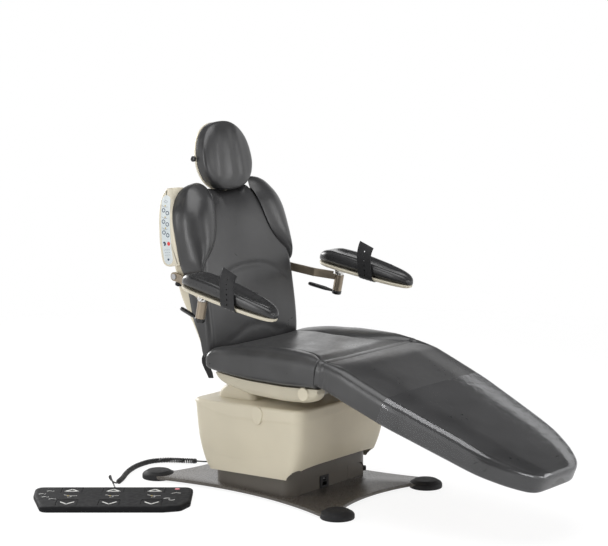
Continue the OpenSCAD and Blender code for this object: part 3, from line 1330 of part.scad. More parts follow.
module arm_tray(side) {
    color(beige) pad_place(side) {
        skin([for (z = [0, 0.6, 1]) [for (i = [0:1]) for (s = pad_stations)
            let (k = i == 0 ? s : 1 - s, w = (pad_w/2*table(pad_width_shares, k)
                - tray_inset*(2 - z))*(i == 0 ? -1 : 1))
            [w, pad_rear - tray_inset - (pad_l - 2*tray_inset)*k, tray_z + tray_t*z]]]);
        for (x = [-1, 1])
            difference() {
                side_plate(x*(knuckle_l/2 + ear_t/2 + fit_gap), ear_t) union() {
                    translate([0, post_top]) circle(d = knuckle_d, $fn = round_fn);
                    translate([-knuckle_d/2, post_top]) square([knuckle_d, tray_z - post_top]);
                }
            }
        translate([0, 0, post_top]) cross_pin(-knuckle_l/2 - ear_t - 2*cut, knuckle_l/2 + ear_t + 2*cut, ear_pin_d);
        for (x = [-1, 1])
            for (y = [-1, 0, 1])
                translate([x*(pad_w/2 - 4*tray_inset), strap_place + y*strap_w/4, tray_z - 3]) cylinder(d = peg_d, h = 3, $fn = round_fn);
    }
}

// Perforated strap over the arm pad, with its free end standing up
function strap_share() = (pad_rear - strap_place - strap_w/2)/pad_l;
module strap_section(grow) {
    s = strap_share();
    w = pad_w/2*table(pad_width_shares, s) + grow;
    t = pad_t*table(pad_depth_shares, s) + grow;
    polygon(concat([[w, 0]], [for (i = [0:18]) let (a = half_turn*i/18)
        [w*bulge(cos(a), 2.5), tray_z + tray_t + (t - grow)/2 + ((t - grow)/2 + grow + strap_arch)*bulge(sin(a), 2.2)]],
        [[-w, 0]]));
}
module arm_strap(side) {
    color(rubber) pad_place(side) difference() {
        translate([0, strap_place + strap_w/2, 0]) rotate([quarter_turn, 0, 0]) linear_extrude(strap_w) difference() {
            strap_section(strap_t + rest_gap);
            strap_section(rest_gap);
            translate([-pad_w, 0]) square([2*pad_w, tray_z - 2*cut]);
        }
        for (k = [-2:2])
            translate([-pad_w, strap_place, tray_z + tray_t + pad_t*(0.42 + 0.11*k)]) rotate([0, quarter_turn, 0])
                cylinder(d = 6, h = pad_w*2/3, $fn = round_fn);
    }
}

base_plate();
foot_caps();
lower_shroud();
access_panel();
power_inlet();
power_rocker();
cable_grommet();
lift_column();
lift_motor();
cord_gland();
pedal_cord();
pedal_case();
pedal_key(-1, key_row_up);  // pedal_key_lift_up
pedal_key(-1, key_row_down);  // pedal_key_lift_down
pedal_key(0, key_row_up);  // pedal_key_back_up
pedal_key(0, key_row_down);  // pedal_key_back_down
pedal_key(1, key_row_up);  // pedal_key_tilt_up
pedal_key(1, key_row_down);  // pedal_key_tilt_down
pedal_stop_key();
lift_piston();
upper_housing();
housing_caps();
neck_cover();
tilt_bracket();
tilt_pins();
tilt_jack();
seat_pan();
pivot_covers();
seat_frame();
seat_board();
seat_cushion();
seat_pins();
leg_frame();
leg_cushion();
foot_cover();
back_frame();
back_shell();
back_cushion();
panel_housing();
panel_face();
headrest_bars();
headrest_shell();
headrest_cushion();
headrest_knob();
arm_bar(-1);  // left_arm_bar
arm_knob(-1);  // left_arm_knob
arm_lever(-1);  // left_arm_lever
arm_post(-1);  // left_arm_post
arm_tray(-1);  // left_arm_tray
arm_pad(-1);  // left_arm_pad
arm_strap(-1);  // left_arm_strap
arm_bar(1);  // right_arm_bar
arm_knob(1);  // right_arm_knob
arm_lever(1);  // right_arm_lever
arm_post(1);  // right_arm_post
arm_tray(1);  // right_arm_tray
arm_pad(1);  // right_arm_pad
arm_strap(1);  // right_arm_strap
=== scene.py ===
import math
import bmesh
import bpy
import numpy as np
from mathutils import Matrix, Vector


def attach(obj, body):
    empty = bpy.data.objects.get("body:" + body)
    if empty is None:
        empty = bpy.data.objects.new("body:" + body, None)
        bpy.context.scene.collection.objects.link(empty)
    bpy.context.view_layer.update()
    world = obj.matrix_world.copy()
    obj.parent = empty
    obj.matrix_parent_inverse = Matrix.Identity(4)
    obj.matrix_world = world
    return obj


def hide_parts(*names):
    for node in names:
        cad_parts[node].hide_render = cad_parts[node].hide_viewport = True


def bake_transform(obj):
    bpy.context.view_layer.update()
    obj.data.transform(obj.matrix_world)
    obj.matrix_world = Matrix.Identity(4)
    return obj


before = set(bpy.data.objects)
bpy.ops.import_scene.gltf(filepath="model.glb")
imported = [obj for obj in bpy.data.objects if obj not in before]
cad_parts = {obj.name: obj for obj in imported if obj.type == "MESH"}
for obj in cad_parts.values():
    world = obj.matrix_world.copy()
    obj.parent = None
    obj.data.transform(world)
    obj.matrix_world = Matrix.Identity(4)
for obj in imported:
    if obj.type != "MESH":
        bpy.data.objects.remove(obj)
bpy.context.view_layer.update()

scene = bpy.context.scene
MM = 0.001
WELD = 0.00002


def linked(name, data):
    obj = bpy.data.objects.new(name, data)
    scene.collection.objects.link(obj)
    return obj


def aimed(obj, at, towards):
    obj.location = at
    obj.rotation_euler = (Vector(towards) - Vector(at)).to_track_quat("-Z", "Y").to_euler()
    return obj


# Camera at the photograph's place
lens = bpy.data.cameras.new("camera")
lens.lens = 112.5
lens.sensor_width = 36
lens.sensor_fit = "HORIZONTAL"
lens.clip_end = 200
scene.camera = aimed(linked("camera", lens), (-5.4632, -4.5332, 1.9258), (-0.0002, -0.0652, 0.8204))
scene.view_settings.view_transform = "Standard"


# Frames of the chair's leaning parts, in millimetres
def shift(x, y, z):
    m = np.eye(4)
    m[:3, 3] = (x, y, z)
    return m


def turn(axis, degrees):
    return np.array(Matrix.Rotation(math.radians(degrees), 4, axis))


def flip_x(side):
    return np.diag([side, 1.0, 1.0, 1.0])


leg_pin_y, leg_pin_z, leg_slope = -352.0, 538.0, 21
back_frame = shift(0, 195, 475) @ turn("X", -11)
leg_frame = shift(0, leg_pin_y, leg_pin_z) @ turn("X", leg_slope)
headrest_frame = back_frame @ shift(0, 8, 780)
pedal_frame = shift(-642, 331, 0) @ turn("Z", -50.7)


def arm_frame(side):
    return back_frame @ shift(side * 274, 84, 347) @ turn("X", 23) @ flip_x(side)


def pad_frame(side):
    tilt = -1 if side < 0 else -4
    return arm_frame(side) @ shift(130, -266, 20) @ turn("X", tilt) @ shift(0, 0, -20)


def placed(points, place=None):
    points = np.asarray(points, float).reshape(-1, 3)
    if place is None:
        return points
    return points @ place[:3, :3].T + place[:3, 3]


# Smooth curve through pairs of place and value, without overshoot
def smooth(*pairs):
    x, y = np.array(pairs, float).T
    h = np.diff(x)
    d = np.diff(y) / h
    m = np.zeros(len(x))
    for i in range(1, len(x) - 1):
        if d[i - 1] * d[i] > 0:
            a, b = 2 * h[i] + h[i - 1], h[i] + 2 * h[i - 1]
            m[i] = (a + b) / (a / d[i - 1] + b / d[i])
    m[0], m[-1] = d[0], d[-1]

    def value(at):
        at = np.clip(np.asarray(at, float), x[0], x[-1])
        i = np.clip(np.searchsorted(x, at, side="right") - 1, 0, len(x) - 2)
        t = (at - x[i]) / h[i]
        return (y[i] * (1 + 2 * t) * (1 - t) ** 2 + m[i] * h[i] * t * (1 - t) ** 2
                + y[i + 1] * t * t * (3 - 2 * t) + m[i + 1] * h[i] * t * t * (t - 1))
    return value


def fade(t):
    t = np.clip(t, 0, 1)
    return t * t * (3 - 2 * t)


def bulge(c, e):
    return np.sign(c) * np.abs(c) ** (2 / e)


# Shares from 0 to 1 that lie closer at both ends
def eased(n):
    return 0.5 - 0.5 * np.cos(np.linspace(0, math.pi, n))


# Points of an ellipse from one quarter turn to another
def arc(x, y, rx, ry, start, end, steps):
    a = math.pi / 2 * (start + (end - start) * np.arange(steps + 1) / steps)
    return [(x + rx * math.cos(v), y + ry * math.sin(v)) for v in a]


def level(outline, z):
    return np.c_[np.asarray(outline, float), np.full(len(outline), z)]


# Directions out of a closed outline that runs anticlockwise
def outward(outline):
    ahead = np.roll(outline, -1, 0) - np.roll(outline, 1, 0)
    out = np.stack([ahead[:, 1], -ahead[:, 0]], 1)
    return out / np.maximum(np.linalg.norm(out, axis=1, keepdims=True), 1e-9)


# The second half of a section mirrors the first, which ends in the middle
def mirrored(x, y):
    return np.vstack([np.c_[x, y], np.c_[-x[-2::-1], y[-2::-1]]])


# Box of rounded corners, with points along its sides where side is more than 1
def round_box(x0, x1, y0, y1, r, steps, side=1):
    arcs = [arc(x, y, r, r, q, q + 1, steps) for x, y, q in
            ((x1 - r, y1 - r, 0), (x0 + r, y1 - r, 1), (x0 + r, y0 + r, 2), (x1 - r, y0 + r, 3))]
    points = []
    for q, corner in enumerate(arcs):
        start, end = np.array(corner[-1]), np.array(arcs[(q + 1) % 4][0])
        points.extend(corner)
        points.extend(start + (end - start) * k / side for k in range(1, side))
    return np.array(points)


# Meshes
def finished(obj, material=None, sharp=40, tidy=True):
    mesh = obj.data
    bm = bmesh.new()
    bm.from_mesh(mesh)
    bmesh.ops.remove_doubles(bm, verts=bm.verts, dist=WELD)
    if tidy:
        bmesh.ops.recalc_face_normals(bm, faces=bm.faces)
    for f in bm.faces:
        f.smooth = True
    for e in bm.edges:
        e.smooth = len(e.link_faces) != 2 or e.calc_face_angle(0) < math.radians(sharp)
    bm.to_mesh(mesh)
    bm.free()
    if material:
        mesh.materials.clear()
        mesh.materials.append(material)
    return obj


def new_mesh(name, points, edges, faces, place=None):
    mesh = bpy.data.meshes.new(name)
    mesh.from_pydata((placed(points, place) * MM).tolist(), edges, faces)
    return linked(name, mesh)


def new_piece(name, points, faces, material=None, place=None, sharp=40):
    return finished(new_mesh(name, points, [], faces, place), material, sharp)


def grid_faces(rows, columns, closed=True):
    faces = []
    for k in range(rows - 1):
        a, b = k * columns, (k + 1) * columns
        for i in range(columns if closed else columns - 1):
            j = (i + 1) % columns
            faces.append((a + i, a + j, b + j, b + i))
    return faces


def lofted(name, rings, material=None, place=None, sharp=40, ends=True):
    rings = np.asarray(rings, float)
    rows, columns = rings.shape[:2]
    points = rings.reshape(-1, 3)
    faces = grid_faces(rows, columns)
    if ends:
        points = np.vstack([points, rings[0].mean(0), rings[-1].mean(0)])
        n = rows * columns
        for i in range(columns):
            j = (i + 1) % columns
            faces.append((j, i, n))
            faces.append((n - columns + i, n - columns + j, n + 1))
    return new_piece(name, points, faces, material, place, sharp)


# Straight solid of one outline between two heights
def prism(name, outline, z0, z1, place=None, material=None, sharp=40):
    return lofted(name, [level(outline, z) for z in (z0, z1)], material, place, sharp)


# Outline drawn in a plane and given a thickness, with rounded edges
def plate_piece(name, outline, z0, z1, edge, material, place, steps, sharp):
    outline = np.asarray(outline, float)
    after = np.roll(outline, -1, 0)
    out = outward(outline)
    if np.sum(outline[:, 0] * after[:, 1] - after[:, 0] * outline[:, 1]) < 0:
        out = -out
    turns = math.pi / 2 * np.arange(steps + 1) / steps
    rings = [level(outline - out * edge * (1 - math.sin(a)), z0 + edge * (1 - math.cos(a))) for a in turns]
    rings += [level(outline - out * edge * (1 - math.cos(a)), z1 - edge * (1 - math.sin(a))) for a in turns]
    return lofted(name, rings, material, place, sharp)


# Solid of revolution about its own Z
def turned(name, profile, material=None, place=None, sides=48, sharp=40):
    a = np.linspace(0, 2 * math.pi, sides, endpoint=False)
    rings = [level(np.c_[r * np.cos(a), r * np.sin(a)], z) for r, z in profile]
    return lofted(name, rings, material, place, sharp)


# Round bar along a line, with its ends turned in by a share of its radius
def solid_bar(name, points, d, material, place, sides, caps, sharp=40):
    points = np.asarray(points, float)
    ahead = np.gradient(points, axis=0)
    ahead /= np.linalg.norm(ahead, axis=1, keepdims=True)
    up = np.array([1.0, 0.0, 0.0] if abs(ahead[0][2]) > 0.9 else [0.0, 0.0, 1.0])
    across = np.cross(ahead[0], up)
    angles = np.linspace(0, 2 * math.pi, sides, endpoint=False)
    rings = []
    for p, t in zip(points, ahead):
        across = across - (across @ t) * t
        across /= np.linalg.norm(across)
        other = np.cross(t, across)
        rings.append([p + d / 2 * (math.cos(a) * across + math.sin(a) * other) for a in angles])
    rings = np.array(rings)
    first = points[0] + (rings[0] - points[0]) * (1 - caps)
    last = points[-1] + (rings[-1] - points[-1]) * (1 - caps)
    rings[0] += ahead[0] * caps * d / 2
    rings[-1] -= ahead[-1] * caps * d / 2
    return lofted(name, np.concatenate([[first], rings, [last]]), material, place, sharp)


def applied(obj):
    held = bpy.context.evaluated_depsgraph_get()
    mesh = bpy.data.meshes.new_from_object(obj.evaluated_get(held), depsgraph=held)
    obj.modifiers.clear()
    old = obj.data
    obj.data = mesh
    mesh.name = obj.name
    bpy.data.meshes.remove(old)
    return obj


def cut_away(obj, *cutters):
    for c in cutters:
        m = obj.modifiers.new("cut", "BOOLEAN")
        m.operation = "DIFFERENCE"
        m.solver = "EXACT"
        m.object = c
    applied(obj)
    for c in cutters:
        bpy.data.objects.remove(c, do_unlink=True)
    return obj


def rounded(obj, width, segments, angle=50):
    m = obj.modifiers.new("edge", "BEVEL")
    m.width = width * MM
    m.segments = segments
    m.limit_method = "ANGLE"
    m.angle_limit = math.radians(angle)
    return applied(obj)


# A node's own solid with rounded edges
def softened(node, name, material, width, segments):
    obj = linked(name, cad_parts[node].data.copy())
    bm = bmesh.new()
    bm.from_mesh(obj.data)
    bmesh.ops.remove_doubles(bm, verts=bm.verts, dist=WELD)
    bmesh.ops.dissolve_limit(bm, angle_limit=math.radians(1.0), verts=bm.verts, edges=bm.edges)
    bm.to_mesh(obj.data)
    bm.free()
    finished(obj, material, 35, tidy=False)
    rounded(obj, width, segments)
    return finished(obj, material, 30, tidy=False)


def joined(name, pieces):
    with bpy.context.temp_override(active_object=pieces[0], selected_editable_objects=pieces,
                                   selected_objects=pieces):
        bpy.ops.object.join()
    pieces[0].name = name
    pieces[0].data.name = name
    return pieces[0]


# The body that carries a piece, and the nodes of the frame that it stands for; the slot is not used
def belongs(obj, body, slot, *nodes):
    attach(obj, body)
    if nodes:
        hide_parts(*nodes)


# Node trees: one sets out a piece at even steps along a line, the other sweeps a round section along it
def node_maker(name, **inputs):
    tree = bpy.data.node_groups.new(name, "GeometryNodeTree")
    for label, kind in {"Geometry": "Geometry", **inputs, "Material": "Material"}.items():
        tree.interface.new_socket(name=label, in_out="INPUT", socket_type="NodeSocket" + kind)
    tree.interface.new_socket(name="Geometry", in_out="OUTPUT", socket_type="NodeSocketGeometry")
    start = tree.nodes.new("NodeGroupInput")
    end = tree.nodes.new("NodeGroupOutput")
    curve = tree.nodes.new("GeometryNodeMeshToCurve")
    real = tree.nodes.new("GeometryNodeRealizeInstances")
    paint = tree.nodes.new("GeometryNodeSetMaterial")
    tree.links.new(start.outputs["Geometry"], curve.inputs["Mesh"])
    tree.links.new(real.outputs[0], paint.inputs["Geometry"])
    tree.links.new(start.outputs["Material"], paint.inputs["Material"])
    tree.links.new(paint.outputs[0], end.inputs[0])
    return tree, start, curve, real


def row_tree():
    tree, start, curve, real = node_maker("pieces_in_a_row", Piece="Object", Spacing="Float", Follow="Float",
                                          Spread="Float", Seed="Int")
    evenly = tree.nodes.new("GeometryNodeResampleCurve")
    evenly.mode = "LENGTH"
    tangent = tree.nodes.new("GeometryNodeInputTangent")
    align = tree.nodes.new("FunctionNodeAlignRotationToVector")
    align.axis = "Z"
    piece = tree.nodes.new("GeometryNodeObjectInfo")
    vary = tree.nodes.new("FunctionNodeRandomValue")
    vary.data_type = "FLOAT"
    vary.inputs[3].default_value = 1.0
    low = tree.nodes.new("ShaderNodeMath")
    low.operation = "SUBTRACT"
    low.inputs[0].default_value = 1.0
    place = tree.nodes.new("GeometryNodeInstanceOnPoints")
    for a, b in ((curve.outputs[0], evenly.inputs["Curve"]),
                 (start.outputs["Spacing"], evenly.inputs["Length"]),
                 (start.outputs["Piece"], piece.inputs["Object"]),
                 (tangent.outputs[0], align.inputs["Vector"]),
                 (start.outputs["Follow"], align.inputs["Factor"]), (start.outputs["Spread"], low.inputs[1]),
                 (low.outputs[0], vary.inputs[2]), (start.outputs["Seed"], vary.inputs["Seed"]),
                 (evenly.outputs[0], place.inputs["Points"]),
                 (piece.outputs["Geometry"], place.inputs["Instance"]),
                 (align.outputs[0], place.inputs["Rotation"]), (vary.outputs[1], place.inputs["Scale"]),
                 (place.outputs[0], real.inputs[0])):
        tree.links.new(a, b)
    return tree


def sweep_tree():
    tree, start, curve, real = node_maker("line_swept_round", Radius="Float", Sides="Int")
    ring = tree.nodes.new("GeometryNodeCurvePrimitiveCircle")
    sweep = tree.nodes.new("GeometryNodeCurveToMesh")
    sweep.inputs["Fill Caps"].default_value = True
    for a, b in ((start.outputs["Radius"], ring.inputs["Radius"]),
                 (start.outputs["Sides"], ring.inputs["Resolution"]),
                 (curve.outputs[0], sweep.inputs["Curve"]), (ring.outputs[0], sweep.inputs["Profile Curve"]),
                 (sweep.outputs[0], real.inputs[0])):
        tree.links.new(a, b)
    return tree


# Lines that a node tree turns into a plain mesh
def grown(name, lines, tree, values, place=None, sharp=40):
    edges = []
    first = 0
    for line in lines:
        edges.extend((first + i, first + i + 1) for i in range(len(line) - 1))
        first += len(line)
    obj = new_mesh(name, np.vstack(lines), edges, [], place)
    nodes = obj.modifiers.new("nodes", "NODES")
    nodes.node_group = tree
    for item in tree.interface.items_tree:
        if item.in_out == "INPUT" and item.name in values:
            nodes[item.identifier] = values[item.name]
    return finished(applied(obj), None, sharp)


rows_of = row_tree()


def set_out(name, lines, piece, spacing, material, place=None, follow=0.0, spread=0.0, seed=4):
    obj = grown(name, lines, rows_of, {"Piece": piece, "Spacing": spacing * MM, "Follow": follow,
                                       "Spread": spread, "Seed": seed, "Material": material}, place)
    bpy.data.objects.remove(piece, do_unlink=True)
    return obj


# Materials
class Finish:
    def __init__(self, name):
        self.material = bpy.data.materials.new(name)
        self.material.use_nodes = True
        self.tree = self.material.node_tree
        self.tree.nodes.clear()
        self.out = self.tree.nodes.new("ShaderNodeOutputMaterial")
        self.shader = self.tree.nodes.new("ShaderNodeBsdfPrincipled")
        self.tree.links.new(self.shader.outputs[0], self.out.inputs[0])
        self.place = self.tree.nodes.new("ShaderNodeTexCoord").outputs["Object"]

    # A socket gets a link, or a constant of its own
    def put(self, socket, value):
        if isinstance(value, bpy.types.NodeSocket):
            self.tree.links.new(value, socket)
        elif socket.type == "RGBA":
            socket.default_value = (*value, 1.0)
        else:
            socket.default_value = value

    def set(self, **values):
        for key, value in values.items():
            self.put(self.shader.inputs[key.replace("_", " ")], value)

    def node(self, kind, links=None, **values):
        n = self.tree.nodes.new(kind)
        for key, value in values.items():
            if hasattr(n, key):
                setattr(n, key, value)
            else:
                self.put(n.inputs[key.replace("_", " ")], value)
        for key, value in (links or {}).items():
            self.put(n.inputs[key], value)
        return n

    def noise(self, scale, detail=3.0, rough=0.5, stretch=None):
        where = self.place
        if stretch:
            where = self.node("ShaderNodeMapping", {0: where}, Scale=stretch).outputs[0]
        return self.node("ShaderNodeTexNoise", {"Vector": where}, Scale=scale, Detail=detail,
                         Roughness=rough).outputs["Fac"]

    def range(self, value, low, high, new_low, new_high):
        return self.node("ShaderNodeMapRange",
                         {0: value, 1: low, 2: high, 3: new_low, 4: new_high}).outputs[0]

    def math(self, kind, a, b):
        return self.node("ShaderNodeMath", {0: a, 1: b}, operation=kind).outputs[0]

    def blend(self, factor, a, b):
        return self.node("ShaderNodeMixShader", {0: factor, 1: a.outputs[0], 2: b.outputs[0]})

    # Tone that goes from one colour to another as the noise rises
    def tones(self, noise, dark, light, low=0.3, high=0.7, most=1.0):
        factor = self.range(noise, low, high, 0.0, most)
        return self.node("ShaderNodeMix", {0: factor, 6: dark, 7: light}, data_type="RGBA").outputs[2]

    def colour(self, *given, **more):
        self.set(Base_Color=self.tones(*given, **more))

    def gloss(self, noise, low, high):
        self.set(Roughness=self.range(noise, 0.3, 0.7, low, high))

    def bump(self, height, distance, strength):
        before = self.shader.inputs["Normal"].links
        links = {"Height": height}
        if before:
            links["Normal"] = before[0].from_socket
        self.set(Normal=self.node("ShaderNodeBump", links, Strength=strength, Distance=distance).outputs[0])

    def shown(self, node):
        self.tree.links.new(node.outputs[0], self.out.inputs[0])
        return self.material


def times(tone, share):
    return tuple(v * share for v in tone)


# Upholstery vinyl: fine grain, soft creases, slow changes of tone and gloss
def upholstery_finish(name, tone, gloss, crease=1.0):
    f = Finish(name)
    slow = f.noise(9.0, 2.0)
    f.colour(slow, times(tone, 0.87), times(tone, 1.13))
    f.set(Roughness=f.math("ADD", f.range(slow, 0.3, 0.7, gloss - 0.04, gloss + 0.04),
                           f.range(f.noise(70.0), 0.3, 0.7, -0.03, 0.03)))
    f.bump(f.noise(520.0, 2.0), 0.00002, 0.4)
    f.bump(f.noise(14.0, 2.0), 0.0010 * crease, 0.5)
    return f.material


# Moulded shell plastic: slight orange peel, faint mottling
def shell_finish(name, tone, gloss=0.42, peel=0.00006):
    f = Finish(name)
    f.colour(f.noise(5.0, 2.0), times(tone, 0.96), times(tone, 1.04))
    f.gloss(f.noise(38.0, 4.0), gloss - 0.05, gloss + 0.06)
    f.bump(f.noise(900.0, 2.0), peel, 0.6)
    return f.material


def metal_finish(name, tone, gloss, brush, metallic=1.0):
    f = Finish(name)
    f.set(Metallic=metallic)
    f.colour(f.noise(14.0), times(tone, 0.93), times(tone, 1.05))
    grain = f.noise(240.0, 3.0, 0.6, brush)
    f.set(Roughness=f.range(grain, 0.25, 0.75, gloss - 0.05, gloss + 0.07))
    f.bump(grain, 0.00003, 0.4)
    return f.material


def rubber_finish(name, tone, gloss, shine=0.5, grain=600.0, depth=0.00008):
    f = Finish(name)
    f.set(Specular_IOR_Level=shine)
    f.colour(f.noise(20.0), times(tone, 0.85), times(tone, 1.2))
    f.gloss(f.noise(60.0), gloss - 0.06, gloss + 0.06)
    f.bump(f.noise(grain, 2.0), depth, 0.6)
    return f.material


def print_finish(name, tone):
    f = Finish(name)
    f.colour(f.noise(400.0, 2.0), times(tone, 0.9), times(tone, 1.08), 0.35, 0.65)
    f.gloss(f.noise(120.0, 2.0), 0.38, 0.5)
    return f.material


def powder_coat():
    f = Finish("plate_powder_coat")
    fleck = f.noise(420.0, 2.0)
    base = f.tones(f.noise(7.0), (0.070, 0.061, 0.052), (0.086, 0.076, 0.065))
    f.colour(fleck, base, (0.15, 0.135, 0.115), 0.56, 0.66, 0.35)
    f.gloss(fleck, 0.22, 0.34)
    f.bump(fleck, 0.00006, 0.4)
    return f.material


def plywood():
    f = Finish("plywood_board")
    ply = f.node("ShaderNodeTexWave", {"Vector": f.place}, wave_type="BANDS", bands_direction="Z", Scale=90.0,
                 Distortion=0.6).outputs["Fac"]
    grain = f.noise(60.0, 4.0, 0.6, (8.0, 1.0, 1.0))
    f.colour(f.math("MULTIPLY", ply, grain), (0.22, 0.13, 0.06), (0.42, 0.29, 0.16), 0.0, 1.0)
    f.gloss(grain, 0.5, 0.7)
    f.bump(grain, 0.0001, 0.5)
    return f.material


def printed_film():
    f = Finish("pale_membrane_film")
    f.colour(f.noise(16.0), (0.60, 0.66, 0.68), (0.68, 0.72, 0.73))
    f.gloss(f.noise(300.0, 2.0), 0.30, 0.42)
    f.bump(f.noise(1500.0, 1.0), 0.00002, 0.5)
    return f.material


def cord_sheath():
    f = Finish("cord_sheath")
    f.colour(f.noise(90.0), (0.010, 0.010, 0.011), (0.018, 0.018, 0.019))
    f.gloss(f.noise(300.0, 2.0), 0.36, 0.5)
    f.bump(f.noise(1200.0, 2.0), 0.00004, 0.5)
    return f.material


# Clear sheet: a share of its front reflects, the rest lets the vinyl through; its side faces reflect less
# than its top, as painted shade
def clear_sheet():
    f = Finish("clear_vinyl_sheet")
    f.set(Base_Color=(0.92, 0.93, 0.95), Metallic=1.0)
    clear = f.node("ShaderNodeBsdfTransparent", Color=(0.97, 0.97, 0.975))
    edge = f.node("ShaderNodeFresnel", IOR=1.5).outputs[0]
    face = f.node("ShaderNodeNewGeometry").outputs
    up_for_painted_side_shade = f.node("ShaderNodeSeparateXYZ", {0: face["Normal"]}).outputs["Z"]
    share = f.math("MULTIPLY", f.range(edge, 0.0, 1.0, 0.0, 1.2), f.math("SUBTRACT", 1.0, face["Backfacing"]))
    # Faces that turn away from straight up get a smaller share of reflection: painted shade on the sheet's
    # sides
    share = f.math("MULTIPLY", share, f.range(up_for_painted_side_shade, -0.1, 0.5, 0.35, 1.0))
    far_side = f.range(f.node("ShaderNodeSeparateXYZ", {0: f.place}).outputs["X"], 0.02, 0.16, 0.12, 1.0)
    f.gloss(f.noise(20.0, 2.0), 0.03, 0.10)
    f.bump(f.math("MULTIPLY", f.noise(46.0, 4.0, 0.62, (0.5, 1.0, 1.0)), far_side), 0.0042, 0.6)
    return f.shown(f.blend(share, clear, f.shader))


# One vinyl in three tones: the seat's copy is lighter, and the back's and arm pads' copies are darker. This
# is painted light and shade that matches how bright each part looks.
charcoal_seat_lit = upholstery_finish("charcoal_vinyl", (0.045, 0.045, 0.046), 0.33)
charcoal_back_shaded = upholstery_finish("charcoal_vinyl_back", (0.036, 0.036, 0.037), 0.33)
charcoal_pads_shaded = upholstery_finish("charcoal_vinyl_pads", (0.028, 0.028, 0.029), 0.30, 0.4)
beige = shell_finish("beige_shell", (0.64, 0.585, 0.455))
# Darker copy of the beige shell for the seat pan: painted shade from the seat above it
pan_beige_shaded = shell_finish("beige_pan", (0.53, 0.485, 0.375))
taupe = shell_finish("taupe_shroud", (0.083, 0.072, 0.058), 0.45, 0.0001)
cream = shell_finish("cream_trim", (0.66, 0.61, 0.49), 0.35)
black_gloss = shell_finish("black_gloss_plastic", (0.012, 0.012, 0.013), 0.22, 0.00002)
black_matt = rubber_finish("black_matt_plastic", (0.016, 0.016, 0.017), 0.5, 0.25)
soft_rubber = rubber_finish("soft_black_rubber", (0.016, 0.016, 0.017), 0.62, 0.22)
pedal_black = rubber_finish("foot_control_black", (0.010, 0.010, 0.011), 0.66, 0.10)
strap_rubber = rubber_finish("strap_rubber", (0.015, 0.015, 0.016), 0.55, 0.3, 380.0, 0.00006)
bronze = metal_finish("bronze_lacquer", (0.30, 0.25, 0.19), 0.34, (1.0, 1.0, 0.15), 0.75)
silver = metal_finish("polished_steel", (0.66, 0.65, 0.63), 0.22, (0.2, 0.2, 3.0))
ground_steel = metal_finish("ground_steel", (0.42, 0.42, 0.43), 0.36, (1.0, 0.2, 1.0))
navy = print_finish("navy_print", (0.012, 0.040, 0.085))
amber = print_finish("amber_print", (0.50, 0.36, 0.05))
red_print = print_finish("red_print", (0.70, 0.05, 0.05))
grey_print = print_finish("grey_print", (0.22, 0.25, 0.29))
white_print = print_finish("white_print", (0.80, 0.80, 0.78))
rose_print = print_finish("rose_print", (0.72, 0.22, 0.25))
plate_paint = powder_coat()
board_wood = plywood()

# Lifting housing: its bottom edge slopes with the base, a step parts its band from the lower wall
top_w, top_front, top_rear = 552, 272, 270
foot_w, foot_front, foot_rear = 494, 216, 230
housing_top, housing_foot = 352, 79
housing_fall = 0.0437
wall = 4.0
band_step = 3.5
edge_r = 13
edge_in = 11
least_band = edge_r + 2.4
swoosh_in = 2.2
levels_n = 120
narrowing = smooth([0, 1], [0.14, 0.72], [0.35, 0.42], [0.57, 0.22], [1, 0.03])
band_h = smooth([-300, 46], [-270, 47], [-156, 51], [-35, 52], [54, 53], [134, 44], [215, 25], [262, 9],
                [300, 8])
swoosh_z = smooth([-260, 232], [-199, 196], [-54, 150], [60, 138], [125, 143], [216, 183], [262, 220])
arch_rise = smooth([120, 44], [170, 42], [205, 39], [219, 34], [228, 25], [236, 12], [242, 3], [247, 0],
                   [260, 0])


def slanted(points, z):
    return np.c_[points, z - housing_fall * points[:, 1]]


def housing_outline(s, out):
    f = narrowing(s)
    w = top_w / 2 + (foot_w - top_w) / 2 * f + out
    front = top_front + (foot_front - top_front) * f + out
    rear = top_rear + (foot_rear - top_rear) * f + out
    return round_box(-w, w, -front, rear, 48 + out, 12, 26)


# Lower wall between two heights; the arched cut in its front raises where each point starts
def wall_rings(inset, foot, count):
    stack = np.array([housing_outline(s, -band_step - inset) for s in np.linspace(0, 1, levels_n + 1)])
    high = housing_top - band_h(stack[30, :, 1])
    start = 0 if inset else arch_rise(np.abs(stack[16, :, 0])) / (high - foot)
    at = np.arange(stack.shape[1])
    for s in np.linspace(0, 1, count):
        share = start + (1 - start) * s * np.ones(len(at))
        k = np.minimum((share * levels_n).astype(int), levels_n - 1)
        part = (share * levels_n - k)[:, None]
        p = stack[k, at] * (1 - part) + stack[k + 1, at] * part
        z = foot + (high - foot) * share
        if not inset:
            on_side = fade((np.abs(p[:, 0]) - 205) / 40) * fade((230 - np.abs(p[:, 1] - 10)) / 60)
            under = fade((swoosh_z(p[:, 1]) - z) / 7 + 0.5) * fade((z - foot) / 60)
            p[:, 0] -= np.sign(p[:, 0]) * swoosh_in * on_side * under
        yield slanted(p, z)


rings = list(wall_rings(0, housing_foot, 56))
for out, up in ((-band_step, 0.6), (-1.1, 0.8), (-0.3, 1.3), (0, 2.4)):
    p = housing_outline(1, out)
    rings.append(slanted(p, housing_top - band_h(p[:, 1]) + up))
p = housing_outline(1, 0)
tall = band_h(p[:, 1])
for k in range(1, 4):
    rings.append(slanted(p, housing_top - edge_r - (tall - least_band) * (1 - k / 3) * (tall > least_band)))
for a in math.pi / 2 * np.arange(1, 9) / 8:
    rings.append(slanted(housing_outline(1, -edge_in * (1 - math.cos(a))),
                         housing_top - edge_r * (1 - math.sin(a))))
upper_housing = lofted("housing_shell", rings, beige)
rings = [*wall_rings(wall, housing_foot - 12, 12), slanted(housing_outline(1, -wall), housing_top - wall)]
cut_away(upper_housing, lofted("hollow", rings))
rounded(upper_housing, 0.9, 2)
finished(upper_housing, beige, 38)
belongs(upper_housing, "housing", "beige_plastic", "upper_housing")

